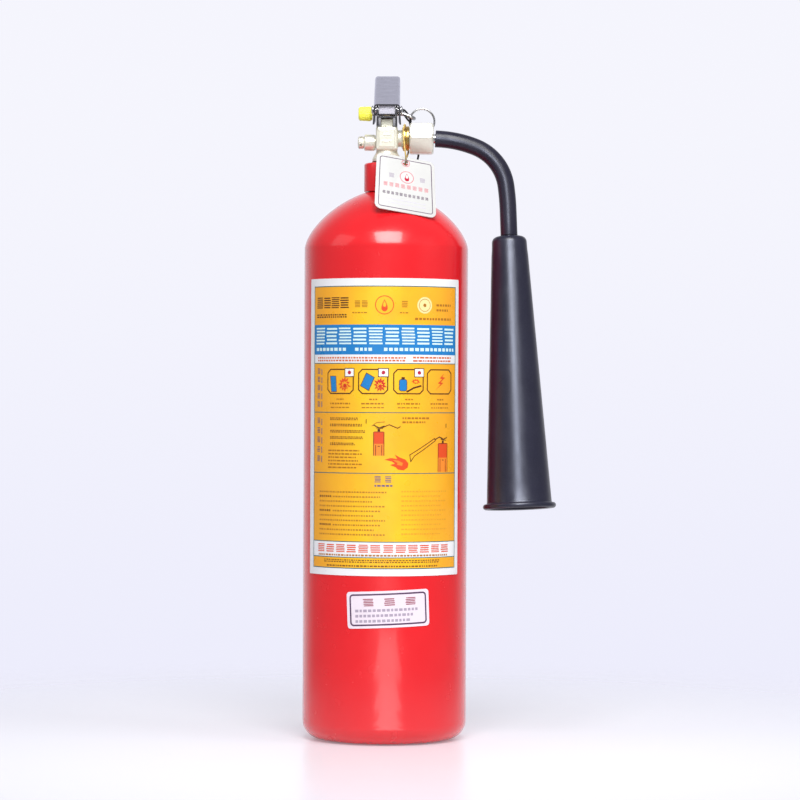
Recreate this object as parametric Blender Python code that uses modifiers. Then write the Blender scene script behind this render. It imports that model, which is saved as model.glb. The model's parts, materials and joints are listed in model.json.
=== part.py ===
"""A portable carbon-dioxide fire extinguisher, modelled as its separate pieces.

Frame: +Z up, the origin at the centre of the flat base, on the cylinder's axis. The front label
faces -Y, the outlet and the horn are on the +X side, and the grips point towards +Y.
Sizes are in millimetres. The helper functions turn them into Blender's metres.
"""

import math

import bmesh
import bpy
from mathutils import Matrix, Vector

MM = 0.001
GAP = 0.3  # running and mating gap between neighbouring pieces

# Cylinder
BODY_R = 66.5
WALL = 4.5
BASE_CORNER = 15.0
BASE_WALL = 7.0
SHOULDER_Z = 397.5  # where the dome starts
DOME_H = 50.0
DOME_POWER = 1.6  # a superellipse between a cone (1) and an ellipse (2)
NECK_R = 14.7
NECK_BORE = 9.6
NECK_TOP = 467.0
RING_R = 18.4

# Valve
FLANGE_Z = NECK_TOP + 2.1
BLOCK_Z = 478.0
BLOCK_HALF = 8.9
BLOCK_DEPTH = 20.0
BLOCK_TOP = 497.0
TOWER_W = 10.0
TOWER_TOP = 503.4
OUTLET_Z = 487.9
PLUG_Z = 484.5
SEAT_Z = 482.3

# Handle and lever, which share a pivot in front of the stem
PLATE_Z = 505.2  # top of the carrying handle's plate
SHEET = 1.5
HANDLE_HALF = 8.5
LEVER_SHEET = 1.3
LEVER_HALF = 10.65
LEVER_FRONT = -16.0
LEVER_FRONT_Z = 514.5
LEVER_SLOPE = math.radians(17.1)
GRIP_END = 104.0
PIVOT = Vector((0, -9.5, 510.3))
PIVOT_R = 2.4
STEM_TOP = 516.7
LEVER_STROKE = math.radians(13.0)

# Safety pin and what hangs on it
PIN = Vector((0, 16.0, 509.5))
PIN_R = 1.6
PIN_TIP = -21.0
EYE_R = 3.4
EYE_DIP = math.radians(21.0)
RING_MAJOR = 10.2
RING_WIRE = 1.15

# Discharge side
NUT_X = 18.5
NUT_LENGTH = 19.5
NUT_FLATS = 24.8
TUBE_R = 4.0
SLEEVE_R = 6.9
SWIVEL_TILT = math.radians(4.5)  # the horn hangs a little forward of plumb
HORN_LENGTH = 222.0
HORN_MOUTH_R = 26.1
HORN_BEAD_R = 2.3

# Labels, wrapped round the cylinder; angles run from the front, towards the horn
LABEL_R = BODY_R + 0.35
LABEL_FILM = 0.25
LABEL_ANGLES = (-64.0, 60.8)
LABEL_Z = (135.4, 371.9)
STICKER_ANGLES = (-26.2, 32.1)
STICKER_Z = (94.5, 123.8)
STICKER_TILT = 2.4

# Hang tag, leaning on the shoulder
TAG_SIZE = (49.0, 54.4)  # width at the top, height
TAG_FLARE = 1.2  # each side, at the foot
TAG_THICK = 0.8
TAG_FOOT = Vector((15.3, -48.7, 424.6))  # middle of its lower edge
TAG_ACROSS = Vector((0.9550, 0.2500, -0.1524))
TAG_UP = Vector((0.0, 0.5206, 0.8538))
TAG_HOLE_DOWN = 6.0
TAG_HOLE_R = 2.2
STRING_R = 0.75
STRING_LOOP_R = 11.4
KNOT_R = 1.5

ALONG_X = (0, math.pi / 2, 0)
ALONG_MINUS_X = (0, -math.pi / 2, 0)
IN_YZ = (math.pi / 2, 0, math.pi / 2)

MATERIALS = {
    "red_paint": ((0.78, 0.02, 0.03), 0.28, 0.0),
    "nickel_plate": ((0.80, 0.76, 0.66), 0.25, 1.0),
    "brass": ((0.78, 0.58, 0.22), 0.3, 1.0),
    "black_steel": ((0.02, 0.02, 0.025), 0.35, 0.2),
    "steel": ((0.62, 0.62, 0.63), 0.25, 1.0),
    "sleeve_rubber": ((0.03, 0.03, 0.035), 0.5, 0.0),
    "horn_plastic": ((0.05, 0.05, 0.06), 0.45, 0.0),
    "yellow_plastic": ((0.85, 0.80, 0.05), 0.35, 0.0),
    "black_nylon": ((0.015, 0.015, 0.015), 0.4, 0.0),
    "seal_rubber": ((0.04, 0.04, 0.04), 0.7, 0.0),
    "dip_plastic": ((0.85, 0.85, 0.82), 0.5, 0.0),
    "label_film": ((0.95, 0.62, 0.05), 0.3, 0.0),
    "sticker_film": ((0.92, 0.88, 0.90), 0.3, 0.0),
    "tag_card": ((0.93, 0.93, 0.90), 0.4, 0.0),
    "gold_cord": ((0.75, 0.58, 0.20), 0.5, 0.0),
}


# ---------------------------------------------------------------- helpers


def clear_scene():
    for obj in list(bpy.data.objects):
        bpy.data.objects.remove(obj)


def new_collection(name):
    collection = bpy.data.collections.new(name)
    bpy.context.scene.collection.children.link(collection)
    return collection


def material(name):
    found = bpy.data.materials.get(name)
    if found:
        return found
    colour, roughness, metallic = MATERIALS[name]
    made = bpy.data.materials.new(name)
    made.use_nodes = True
    shader = made.node_tree.nodes["Principled BSDF"]
    shader.inputs["Base Color"].default_value = (*colour, 1.0)
    shader.inputs["Roughness"].default_value = roughness
    shader.inputs["Metallic"].default_value = metallic
    return made


def add(name, data, finish, at=(0, 0, 0), turn=(0, 0, 0), parent=None):
    """Links a new object. A finish of None makes it a cutter."""
    obj = bpy.data.objects.new(name, data)
    obj.location = Vector(at) * MM
    obj.rotation_euler = turn
    obj.parent = parent
    if finish is None:
        CUTTERS.objects.link(obj)
        obj.hide_render = True
        obj.display_type = "WIRE"
    else:
        PARTS.objects.link(obj)
        obj.data.materials.append(material(finish))
    return obj


def frame_at(name, at, turn=(0, 0, 0)):
    empty = bpy.data.objects.new(name, None)
    PARTS.objects.link(empty)
    empty.location = Vector(at) * MM
    empty.rotation_euler = turn
    return empty


def turned(name, profile, finish, segments=32, **where):
    """A turned piece about its own Z. The profile's (radius, height) points run down the outer side;
    one that leaves the axis alone is a ring, and goes on up its inner side."""
    ring = all(radius > 0 for radius, _ in profile)
    points = [(radius * MM, 0, height * MM) for radius, height in profile]
    edges = [(i, i + 1) for i in range(len(points) - 1)]
    if ring:
        edges.append((len(points) - 1, 0))
    mesh = bpy.data.meshes.new(name)
    mesh.from_pydata(points, edges, [])
    obj = add(name, mesh, finish, **where)
    screw = obj.modifiers.new("Turn", "SCREW")
    screw.steps = segments
    screw.render_steps = segments
    screw.use_merge_vertices = True
    screw.merge_threshold = 1e-6
    return obj


def rod(name, radius, low, high, finish, segments=24, **where):
    """A plain cylinder along its own Z, from low to high."""
    profile = [(0, high), (radius, high), (radius, low), (0, low)]
    return turned(name, profile, finish, segments, **where)


def pipe(name, outer, inner, low, high, finish, segments=24, **where):
    profile = [(outer, high), (outer, low), (inner, low), (inner, high)]
    return turned(name, profile, finish, segments, **where)


def box(name, size, finish, bevel=0.0, **where):
    mesh = bpy.data.meshes.new(name)
    cube = bmesh.new()
    bmesh.ops.create_cube(cube, size=1.0)
    bmesh.ops.scale(cube, vec=Vector(size) * MM, verts=cube.verts)
    cube.to_mesh(mesh)
    cube.free()
    obj = add(name, mesh, finish, **where)
    if bevel:
        rounding = obj.modifiers.new("Rounding", "BEVEL")
        rounding.width = bevel * MM
        rounding.segments = 2
    return obj


def hexagon(name, flats, length, finish, **where):
    """A hexagonal bar about its own Z, centred, with two corners on its own Y."""
    mesh = bpy.data.meshes.new(name)
    prism = bmesh.new()
    corner = flats / 2 / math.cos(math.pi / 6) * MM
    bmesh.ops.create_cone(
        prism, cap_ends=True, segments=6, radius1=corner, radius2=corner, depth=length * MM
    )
    prism.to_mesh(mesh)
    prism.free()
    return add(name, mesh, finish, **where)


def combine(target, tool, operation="DIFFERENCE"):
    boolean = target.modifiers.new(tool.name, "BOOLEAN")
    boolean.operation = operation
    boolean.object = tool
    boolean.solver = "EXACT"
    return target


def arc(centre, radius, start, end, steps):
    """Points on an arc, both ends included, in degrees."""
    found = []
    for i in range(steps + 1):
        angle = math.radians(start + (end - start) * i / steps)
        found.append((centre[0] + radius * math.cos(angle), centre[1] + radius * math.sin(angle)))
    return found


def wire(name, points, radius, finish, sides=2, cyclic=False, filled=True, **where):
    """A round bar along the points. It is a POLY curve with 2 * sides + 4 faces round it."""
    data = bpy.data.curves.new(name, "CURVE")
    data.dimensions = "3D"
    data.bevel_depth = radius * MM
    data.bevel_resolution = sides
    data.use_fill_caps = filled
    spline = data.splines.new("POLY")
    spline.points.add(len(points) - 1)
    for point, place in zip(spline.points, points):
        point.co = (*(Vector(place) * MM), 1.0)
    spline.use_cyclic_u = cyclic
    return add(name, data, finish, **where)


def plate(name, outlines, thickness, finish, **where):
    """A flat piece in its own XY plane, centred on it. The outlines after the first are holes."""
    data = bpy.data.curves.new(name, "CURVE")
    data.dimensions = "2D"
    data.fill_mode = "BOTH"
    data.extrude = thickness / 2 * MM
    for outline in outlines:
        spline = data.splines.new("POLY")
        spline.points.add(len(outline) - 1)
        for point, (x, y) in zip(spline.points, outline):
            point.co = (x * MM, y * MM, 0, 1.0)
        spline.use_cyclic_u = True
    return add(name, data, finish, **where)


def as_mesh(obj):
    """The same object as a mesh with welded caps, so that it can be cut or be a cutter."""
    bpy.context.view_layer.update()
    graph = bpy.context.evaluated_depsgraph_get()
    mesh = bpy.data.meshes.new_from_object(obj.evaluated_get(graph))
    welded = bmesh.new()
    welded.from_mesh(mesh)
    bmesh.ops.remove_doubles(welded, verts=welded.verts, dist=1e-6)
    bmesh.ops.recalc_face_normals(welded, faces=welded.faces)
    welded.to_mesh(mesh)
    welded.free()
    name, parent, place = obj.name, obj.parent, obj.matrix_world.copy()
    home = obj.users_collection[0]
    hidden = obj.hide_render
    bpy.data.objects.remove(obj)
    made = bpy.data.objects.new(name, mesh)
    home.objects.link(made)
    made.parent = parent
    made.matrix_world = place
    made.hide_render = hidden
    if hidden:
        made.display_type = "WIRE"
    return made


def channel(name, stations, half, corner, sheet, finish, **where):
    """A bent-sheet channel open below. Each station is (y, top z, depth of the sides)."""
    mesh = bpy.data.meshes.new(name)
    surface = bmesh.new()
    rows = []
    for y, top, depth in stations:
        section = [(-half, top - depth)]
        section += arc((-half + corner, top - corner), corner, 180, 90, 3)
        section += arc((half - corner, top - corner), corner, 90, 0, 3)
        section.append((half, top - depth))
        rows.append([surface.verts.new((x * MM, y * MM, z * MM)) for x, z in section])
    for near, far in zip(rows, rows[1:]):
        for i in range(len(near) - 1):
            surface.faces.new((near[i], near[i + 1], far[i + 1], far[i]))
    surface.normal_update()
    surface.to_mesh(mesh)
    surface.free()
    obj = add(name, mesh, finish, **where)
    solidify = obj.modifiers.new("Sheet", "SOLIDIFY")
    solidify.thickness = sheet * MM
    solidify.offset = -1
    solidify.use_even_offset = True
    return obj


def wrapped(name, angles, heights, finish, tilt=0.0, steps=24):
    """A film wrapped on the cylinder between two angles from the front and two heights."""
    mesh = bpy.data.meshes.new(name)
    grid = bmesh.new()
    bmesh.ops.create_grid(grid, x_segments=steps, y_segments=1, size=0.5)
    middle = math.radians(sum(angles) / 2)
    width = math.radians(angles[1] - angles[0]) * LABEL_R
    height = heights[1] - heights[0]
    lean = Matrix.Rotation(math.radians(tilt), 2)
    for vert in grid.verts:
        along, up = lean @ Vector((vert.co.x * width, vert.co.y * height))
        angle = middle + along / LABEL_R
        vert.co = Vector((
            LABEL_R * math.sin(angle),
            -LABEL_R * math.cos(angle),
            sum(heights) / 2 + up,
        )) * MM
    grid.normal_update()
    grid.to_mesh(mesh)
    grid.free()
    obj = add(name, mesh, finish)
    film = obj.modifiers.new("Film", "SOLIDIFY")
    film.thickness = LABEL_FILM * MM
    film.offset = 1
    return obj


def hang_on(carrier, *names):
    """Parents the pieces to the empty on their joint's axis, without moving them."""
    bpy.context.view_layer.update()
    for name in names:
        piece = bpy.data.objects[name]
        piece.parent = carrier
        piece.matrix_parent_inverse = carrier.matrix_world.inverted()


def smooth(obj, angle=35.0):
    if obj.type == "MESH":
        obj.data.shade_smooth()
        obj.data.set_sharp_from_angle(angle=math.radians(angle))


# ---------------------------------------------------------------- cylinder


def dome(radius, height, top_r, steps):
    """The superelliptic shoulder from its upper rim, at radius top_r, down to the wall."""
    last = math.acos((top_r / radius) ** (DOME_POWER / 2))
    points = []
    for i in range(steps + 1):
        t = last * (1 - i / steps)
        r = radius * math.cos(t) ** (2 / DOME_POWER)
        points.append((r, SHOULDER_Z + height * math.sin(t) ** (2 / DOME_POWER)))
    return points


def make_cylinder():
    outer = [(NECK_R, NECK_TOP)] + dome(BODY_R, DOME_H, NECK_R, 9)
    outer += arc((BODY_R - BASE_CORNER, BASE_CORNER), BASE_CORNER, 0, -90, 5)
    inside_r = BODY_R - WALL
    inner = dome(inside_r, DOME_H - WALL, NECK_BORE, 5)
    inner.append((inside_r, BASE_CORNER + BASE_WALL / 2))
    inner.append((inside_r - BASE_CORNER / 2, BASE_WALL))
    inner.append((0, BASE_WALL))
    profile = [(0, BASE_WALL)] + inner[-2::-1] + [(NECK_BORE, NECK_TOP)] + outer + [(0, 0)]
    turned("cylinder", profile, "red_paint", 48)


def make_neck_ring():
    bore = NECK_R + GAP
    top = NECK_TOP + 0.6
    profile = [(RING_R - 1.2, top), (RING_R, top - 1.2), (RING_R, 444.3), (bore, 445.4), (bore, top)]
    turned("neck_ring", profile, "red_paint", 40)


# ---------------------------------------------------------------- valve


def make_valve_body():
    """Brass forging: threaded stub, flange, block, tower for the stem and the outlet spigot."""
    stub = NECK_BORE - GAP
    profile = [
        (0, BLOCK_Z + 4), (8.7, BLOCK_Z + 4), (8.7, BLOCK_Z - 1), (9.6, BLOCK_Z - 3.0),
        (11.8, FLANGE_Z + 1.5), (11.8, FLANGE_Z), (stub, FLANGE_Z), (stub, 444), (stub - 1, 443), (0, 443),
    ]
    body = turned("valve_body", profile, "nickel_plate", 32)
    block_h = BLOCK_TOP - BLOCK_Z
    block = box(
        "block_form", (2 * BLOCK_HALF, BLOCK_DEPTH, block_h), None, 1.2,
        at=(0, 0, BLOCK_Z + block_h / 2),
    )
    tower_h = TOWER_TOP - BLOCK_TOP + 4
    tower = box("tower_form", (TOWER_W, 16, tower_h), None, 0.8, at=(0, 0, TOWER_TOP - tower_h / 2))
    spigot = turned(
        "spigot_form",
        [(0, 26), (8.2, 26), (8.6, 25.4), (8.6, 12.6), (6.8, 12.6), (6.8, 6), (0, 6)],
        None, 28, at=(0, 0, OUTLET_Z), turn=ALONG_X,
    )
    for form in (block, tower, spigot):
        combine(body, form, "UNION")
    bores = (
        rod("stem_bore", 4.3, SEAT_Z + 2, 515, None, 20),
        rod("seat_bore", 2.6, SEAT_Z - 3, SEAT_Z + 4, None, 16),
        rod("inlet_bore", 4.6, 430, SEAT_Z, None, 20),
        rod("outlet_bore", 3.0, 1, 40, None, 16, at=(0, 0, OUTLET_Z), turn=ALONG_X),
        rod("plug_bore", 4.3, 5.8, 20, None, 20, at=(0, 0, PLUG_Z), turn=ALONG_MINUS_X),
        rod("burst_drilling", 0.9, 430, PLUG_Z, None, 8, at=(-6.9, 0, 0)),
    )
    for bore in bores:
        combine(body, bore)


def make_neck_gasket():
    pipe("neck_gasket", 12.0, NECK_BORE, NECK_TOP + GAP, FLANGE_Z - GAP, "seal_rubber", 24)


def make_dip_tube():
    """Carries liquid up from the bottom. Its foot is cut on the slant."""
    tube = pipe("dip_tube", 4.3, 3.2, 14, 454.0, "dip_plastic", 16)
    slant = box("slant_form", (20, 20, 20), None, at=(8, 0, 12), turn=(0, math.radians(45), 0))
    combine(tube, slant)


def make_stem():
    """Push rod with its poppet under the seat, the poppet's washer, and the cap that the lever pushes."""
    profile = [
        (0, STEM_TOP - 3), (1.6, STEM_TOP - 3), (1.6, SEAT_Z - 1.2), (2.4, SEAT_Z - 1.2),
        (2.4, SEAT_Z - 2.6), (4.0, SEAT_Z - 2.6), (4.0, SEAT_Z - 5), (2.2, SEAT_Z - 5),
        (2.2, SEAT_Z - 8), (0, SEAT_Z - 8),
    ]
    turned("stem", profile, "steel", 16)
    pipe("poppet_washer", 4.0, 2.7, SEAT_Z - 2.3, SEAT_Z - GAP, "seal_rubber", 16)
    cap = [
        (0, STEM_TOP), (1.8, STEM_TOP), (3.0, STEM_TOP - 1), (3.0, STEM_TOP - 5.0),
        (1.9, STEM_TOP - 5.0), (1.9, STEM_TOP - 2.7), (0, STEM_TOP - 2.7),
    ]
    turned("stem_cap", cap, "steel", 20)


def make_stem_spring():
    """Lifts the poppet onto its seat. It stands on the dip tube's upper end."""
    low, high = 454.9, SEAT_Z - 5.9
    turns, per_turn, coil_r, wire_r = 5, 9, 3.3, 0.5
    points = []
    for i in range(turns * per_turn + 1):
        angle = 2 * math.pi * i / per_turn
        rise = low + (high - low) * i / (turns * per_turn)
        points.append((coil_r * math.cos(angle), coil_r * math.sin(angle), rise))
    wire("stem_spring", points, wire_r, "steel", 1)


def make_gland_nut():
    """Clamps the carrying handle to the tower, and holds the seal round the stem."""
    pipe("stem_seal", 4.0, 1.9, 491.2, 494.9, "seal_rubber", 16)
    head = hexagon(
        "gland_nut", 10, 3.2, "brass", at=(0, 0, PLATE_Z + GAP + 1.6), turn=(0, 0, math.pi / 6)
    )
    combine(head, rod("gland_shank", 4.0, 495.2, PLATE_Z + 1, None, 20), "UNION")
    combine(head, rod("gland_bore", 2.2, 490, 520, None, 16))


def make_burst_plug():
    """Vents the cylinder through cross holes if its disc bursts. It faces away from the horn."""
    base = BLOCK_HALF + GAP
    profile = [
        (0, base + 9.4), (3.8, base + 9.4), (3.8, base + 9.2), (6.1, base + 9.2), (6.6, base + 8.6),
        (6.6, base), (4.0, base), (4.0, 6.6), (1.6, 6.6), (1.6, base + 7), (0, base + 7),
    ]
    plug = turned("burst_plug", profile, "nickel_plate", 28, at=(0, 0, PLUG_Z), turn=ALONG_MINUS_X)
    nose = hexagon(
        "nose_form", 10.2, 6.0, None, at=(-(base + 11.4), 0, PLUG_Z), turn=ALONG_MINUS_X
    )
    combine(plug, nose, "UNION")
    for name, turn in (("vent_across", (math.pi / 2, 0, 0)), ("vent_down", (0, 0, 0))):
        vent = rod(name, 0.9, -8, 8, None, 10, at=(-(base + 11.4), 0, PLUG_Z), turn=turn)
        combine(plug, vent)
    combine(
        plug,
        rod("vent_bore", 1.3, 6, base + 11.6, None, 12, at=(0, 0, PLUG_Z), turn=ALONG_MINUS_X),
    )
    disc = (0, 0, PLUG_Z)
    rod("burst_disc", 3.9, 6.0, 6.35, "brass", 16, at=disc, turn=ALONG_MINUS_X)


# ---------------------------------------------------------------- discharge side


def make_outlet():
    """Lock ring on the spigot, union nut, and the gasket that the tube's ferrule presses on."""
    where = {"at": (0, 0, OUTLET_Z), "turn": ALONG_X}
    bore = 8.6 + GAP
    lock = [
        (9.6, 18.2), (10.2, 17.6), (10.2, 16.0), (9.7, 15.6), (10.2, 15.2), (10.2, 13.5),
        (9.6, 12.9), (bore, 12.9), (bore, 18.2),
    ]
    turned("lock_ring", lock, "brass", 28, **where)
    nut = hexagon(
        "union_nut", NUT_FLATS, NUT_LENGTH, "nickel_plate",
        at=(NUT_X + NUT_LENGTH / 2, 0, OUTLET_Z), turn=ALONG_X,
    )
    end = NUT_X + NUT_LENGTH
    corner = NUT_FLATS / 2 / math.cos(math.pi / 6)
    chamfer = [
        (0, end + 0.2), (corner - 2.6, end + 0.2), (corner + 0.2, end - 2.0),
        (corner + 0.2, NUT_X + 1.3), (corner - 1.8, NUT_X - 0.2), (0, NUT_X - 0.2),
    ]
    combine(nut, turned("nut_chamfer", chamfer, None, 36, **where), "INTERSECT")
    combine(nut, rod("nut_thread", 8.9, NUT_X - 2, 31.0, None, 28, **where))
    combine(nut, rod("nut_hole", TUBE_R + 0.4, 20, 50, None, 20, **where))
    pipe("outlet_gasket", 8.3, 3.4, 26.3, 27.8, "seal_rubber", 20, **where)


def tube_route(first, last_straight):
    """The tube's centre line in the outlet's XZ plane: straight out of the nut, a gentle bend,
    a tight bend and a nearly straight drop. It is a list of (x, z) about the outlet's centre."""
    bends = ((92.0, 22.0, 5), (40.0, 60.0, 10), (200.0, 5.7, 2))
    x, z, heading = NUT_X + NUT_LENGTH, 0.0, 0.0
    points = [(first, 0.0)]
    if first < x - 5:
        points.append((x - 4, 0.0))
    if first < x:
        points.append((x, z))
    for radius, sweep, steps in bends:
        for _ in range(steps):
            turn = math.radians(sweep / steps)
            chord = 2 * radius * math.sin(turn / 2)
            x += chord * math.cos(heading + turn / 2)
            z -= chord * math.sin(heading + turn / 2)
            heading += turn
            points.append((x, z))
    for length in (10.0, 11.0, last_straight):
        if length:
            x += length * math.cos(heading)
            z -= length * math.sin(heading)
            points.append((x, z))
    return points, heading


def hollow_bar(name, points, outer, wall, finish, parent, sides):
    bar = wire(
        name, [(x, 0, z) for x, z in points], outer, finish, sides, filled=False, parent=parent
    )
    solidify = bar.modifiers.new("Wall", "SOLIDIFY")
    solidify.thickness = wall * MM
    solidify.offset = -1
    return bar


def make_discharge(swivel):
    """Bent steel tube in a rubber sleeve, its ferrule, the nozzle and the horn. They swing together."""
    tube, heading = tube_route(28.1, 14.0)
    hollow_bar("discharge_tube", tube, TUBE_R, 1.0, "steel", swivel, 2)
    sleeve, _ = tube_route(NUT_X + NUT_LENGTH + 1.8, 0)
    sleeve = [point for point in sleeve if point[0] >= NUT_X + NUT_LENGTH + 1.8]
    hollow_bar(
        "tube_sleeve", sleeve, SLEEVE_R, SLEEVE_R - TUBE_R - GAP, "sleeve_rubber", swivel, 4
    )
    pipe(
        "tube_ferrule", 8.4, TUBE_R + GAP, 28.1, 30.7, "brass", 20, parent=swivel, turn=ALONG_X
    )
    top = sleeve[-1]
    along = (math.cos(heading), -math.sin(heading))
    start = (top[0] + GAP * along[0], 0, top[1] + GAP * along[1])
    down = (0, math.pi / 2 + heading, 0)
    make_horn(start, down, swivel)
    make_nozzle(start, down, swivel)


def make_horn(start, down, swivel):
    """Moulded cone. Its own Z runs down the axis from the hole at the top, so the profile is read
    from the mouth, which is its high end."""
    end = HORN_LENGTH
    bead_z = end - HORN_BEAD_R
    bead = arc((HORN_MOUTH_R + 1.3, bead_z), HORN_BEAD_R, 80, -100, 6)
    shoulder = arc((9.2, 5.5), 5.0, 0, -90, 4)
    outer = bead + [(HORN_MOUTH_R, bead_z - 3.2), (14.8, 16)] + shoulder
    inner = [
        (TUBE_R + 0.4, 0.5), (TUBE_R + 0.4, 5), (10, 5), (10, 28), (12.6, 32), (24.0, end - 7),
        (24.7, end),
    ]
    turned("horn", outer + inner, "horn_plastic", 32, at=start, turn=down, parent=swivel)


def make_nozzle(start, down, swivel):
    """Jet nozzle on the tube's end, inside the horn's neck."""
    profile = [
        (8.0, 27.5), (9.7, 26), (9.7, 5.3), (TUBE_R + GAP, 5.3), (TUBE_R + GAP, 14.6), (1.5, 14.6),
        (1.5, 22), (4.0, 27.5),
    ]
    turned("horn_nozzle", profile, "brass", 24, at=start, turn=down, parent=swivel)


# ---------------------------------------------------------------- handle and lever


def make_carry_handle():
    """Lower grip: a channel on the valve's tower, with two ears that hold the pivot and the pin."""
    deep = PLATE_Z - BLOCK_TOP - GAP
    stations = [
        (-14.3, PLATE_Z, deep), (14.0, PLATE_Z, deep), (24.0, PLATE_Z, 9.0), (60.0, PLATE_Z, 9.5),
        (86.0, PLATE_Z, 9.0), (94.0, PLATE_Z - 1.5, 7.6), (99.0, PLATE_Z - 5.0, 4.2),
    ]
    handle = channel("carry_handle", stations, HANDLE_HALF, 2.0, SHEET, "black_steel")
    ear = [(PIVOT.y - 4.2, 500.0), (21.0, 500.0)]
    ear += arc((17.2, 510.2), 3.8, 0, 90, 4)
    ear += arc((PIVOT.y, PIVOT.z), 4.3, 75, 180, 5)
    for side in (-1, 1):
        cheek = as_mesh(plate(
            f"ear_form_{side}", [ear], SHEET - 0.2, None,
            at=(side * (HANDLE_HALF - SHEET / 2), 0, 0), turn=IN_YZ,
        ))
        combine(handle, cheek, "UNION")
    across = {"turn": ALONG_X}
    combine(handle, rod("handle_pivot_hole", PIVOT_R + GAP, -20, 20, None, 24, at=PIVOT, **across))
    combine(handle, rod("handle_pin_hole", PIN_R + 0.4, -20, 20, None, 16, at=PIN, **across))
    combine(handle, rod("gland_hole", 4.3, 495, 510, None, 20))


def lever_top(y):
    return LEVER_FRONT_Z + (y - LEVER_FRONT) * math.tan(LEVER_SLOPE)


def make_squeeze_lever():
    """Upper grip: a deeper channel that straddles the handle's ears. Its pin holes are slots, so
    that it can be squeezed while the pin is in."""
    stations = [(LEVER_FRONT, lever_top(LEVER_FRONT), 16.5), (2.0, lever_top(2), 19.0)]
    stations += [(20.0, lever_top(20), 21.0), (34.0, lever_top(34), 14.0)]
    stations += [(60.0, lever_top(60), 10.5), (93.0, lever_top(93), 9.5)]
    stations += [
        (99.5, lever_top(99.5) - 0.6, 8.4), (GRIP_END, lever_top(GRIP_END) - 2.8, 5.6),
    ]
    lever = channel("squeeze_lever", stations, LEVER_HALF, 2.6, LEVER_SHEET, "black_steel")
    combine(
        lever, rod("lever_pivot_hole", PIVOT_R + GAP, -20, 20, None, 20, at=PIVOT, turn=ALONG_X)
    )
    radius = PIN_R + 0.7
    reach = (PIN.y - PIVOT.y) * math.sin(LEVER_STROKE)
    slot = arc((PIN.y - 0.3, PIN.z + reach), radius, 0, 180, 6)
    slot += arc((PIN.y, PIN.z), radius, 180, 360, 6)
    form = as_mesh(plate("pin_slot_form", [slot], 40, None, turn=IN_YZ))
    combine(lever, form)


def make_pivot():
    """Rivet through the lever's sides and the handle's ears, with a bush between the ears."""
    head_in = LEVER_HALF + GAP
    head_out = head_in + 1.6
    profile = [(0, head_out), (2.6, head_out), (3.6, head_out - 0.9), (3.6, head_in)]
    profile += [(PIVOT_R, head_in), (PIVOT_R, -head_in), (3.6, -head_in)]
    profile += [(3.6, -head_out + 0.9), (2.6, -head_out), (0, -head_out)]
    turned("lever_pivot", profile, "steel", 20, at=PIVOT, turn=ALONG_X)
    bush = HANDLE_HALF - SHEET - GAP
    pipe(
        "pivot_bush", 3.6, PIVOT_R + GAP, -bush, bush, "steel", 24, at=PIVOT, turn=ALONG_X
    )


# ---------------------------------------------------------------- safety pin


def eye_centre():
    """Centre of the pin's eye, which lies beside the dipped end of the rod."""
    dip = Vector((math.cos(EYE_DIP), 0, -math.sin(EYE_DIP)))
    return Vector((13.4, PIN.y, PIN.z)) + 6.0 * dip + Vector((0, EYE_R, 0)), dip


def ring_centre():
    centre, _ = eye_centre()
    angle = math.radians(160)
    return centre - RING_MAJOR * Vector((math.cos(angle), 0, math.sin(angle)))


def make_safety_pin():
    centre, dip = eye_centre()
    points = [Vector((PIN_TIP, PIN.y, PIN.z)), Vector((12.6, PIN.y, PIN.z))]
    points.append(Vector((13.8, PIN.y, PIN.z - 0.15)))
    sweep, steps = 285, 12
    for i in range(steps + 1):
        angle = math.radians(-90 + sweep * i / steps)
        points.append(
            centre + EYE_R * (math.cos(angle) * dip + math.sin(angle) * Vector((0, 1, 0)))
        )
    wire("safety_pin", points, PIN_R, "steel", 3)


def make_pull_ring():
    centre = ring_centre()
    count = 28
    points = []
    for i in range(count):
        angle = 2 * math.pi * i / count
        points.append(centre + RING_MAJOR * Vector((math.cos(angle), 0, math.sin(angle))))
    wire("pull_ring", points, RING_WIRE, "steel", 2, cyclic=True)


def make_seal_tie():
    """Nylon tie looped on the ring's lower side, with its tail hanging behind the union nut."""
    angle = math.radians(-110)
    out = Vector((math.cos(angle), 0, math.sin(angle)))
    hold = ring_centre() + RING_MAJOR * out
    loop_r, tie_r, steps = RING_WIRE + GAP + 0.9, 0.9, 9
    points = []
    for i in range(steps + 1):
        turn = math.radians(62 + (360 - 62) * i / steps)
        points.append(hold + loop_r * (math.cos(turn) * out + math.sin(turn) * Vector((0, 1, 0))))
    foot = points[-1]
    points += [foot + Vector((1.2, 0, -7)), foot + Vector((1.8, 0, -14))]
    points.append(foot + Vector((0.8, 0, -20.5)))
    wire("seal_tie", points, tie_r, "black_nylon", 1)


def make_seal_cap():
    """Tamper cap snapped on the pin's tip."""
    near, far = 12.0, 23.4
    profile = [
        (0, far), (4.6, far), (5.6, far - 1.0), (6.0, near + 1.6), (5.2, near),
        (PIN_R + GAP, near), (PIN_R + GAP, -PIN_TIP + GAP), (0, -PIN_TIP + GAP),
    ]
    turned("seal_cap", profile, "yellow_plastic", 28, at=PIN, turn=ALONG_MINUS_X)


# ---------------------------------------------------------------- tag and labels


def tag_point(across, up, out=0.0):
    """A point in the tag's own frame: from the middle of its foot, across, up and out of its face."""
    face = TAG_ACROSS.cross(TAG_UP)
    return TAG_FOOT + across * TAG_ACROSS + up * TAG_UP + out * face


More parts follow.
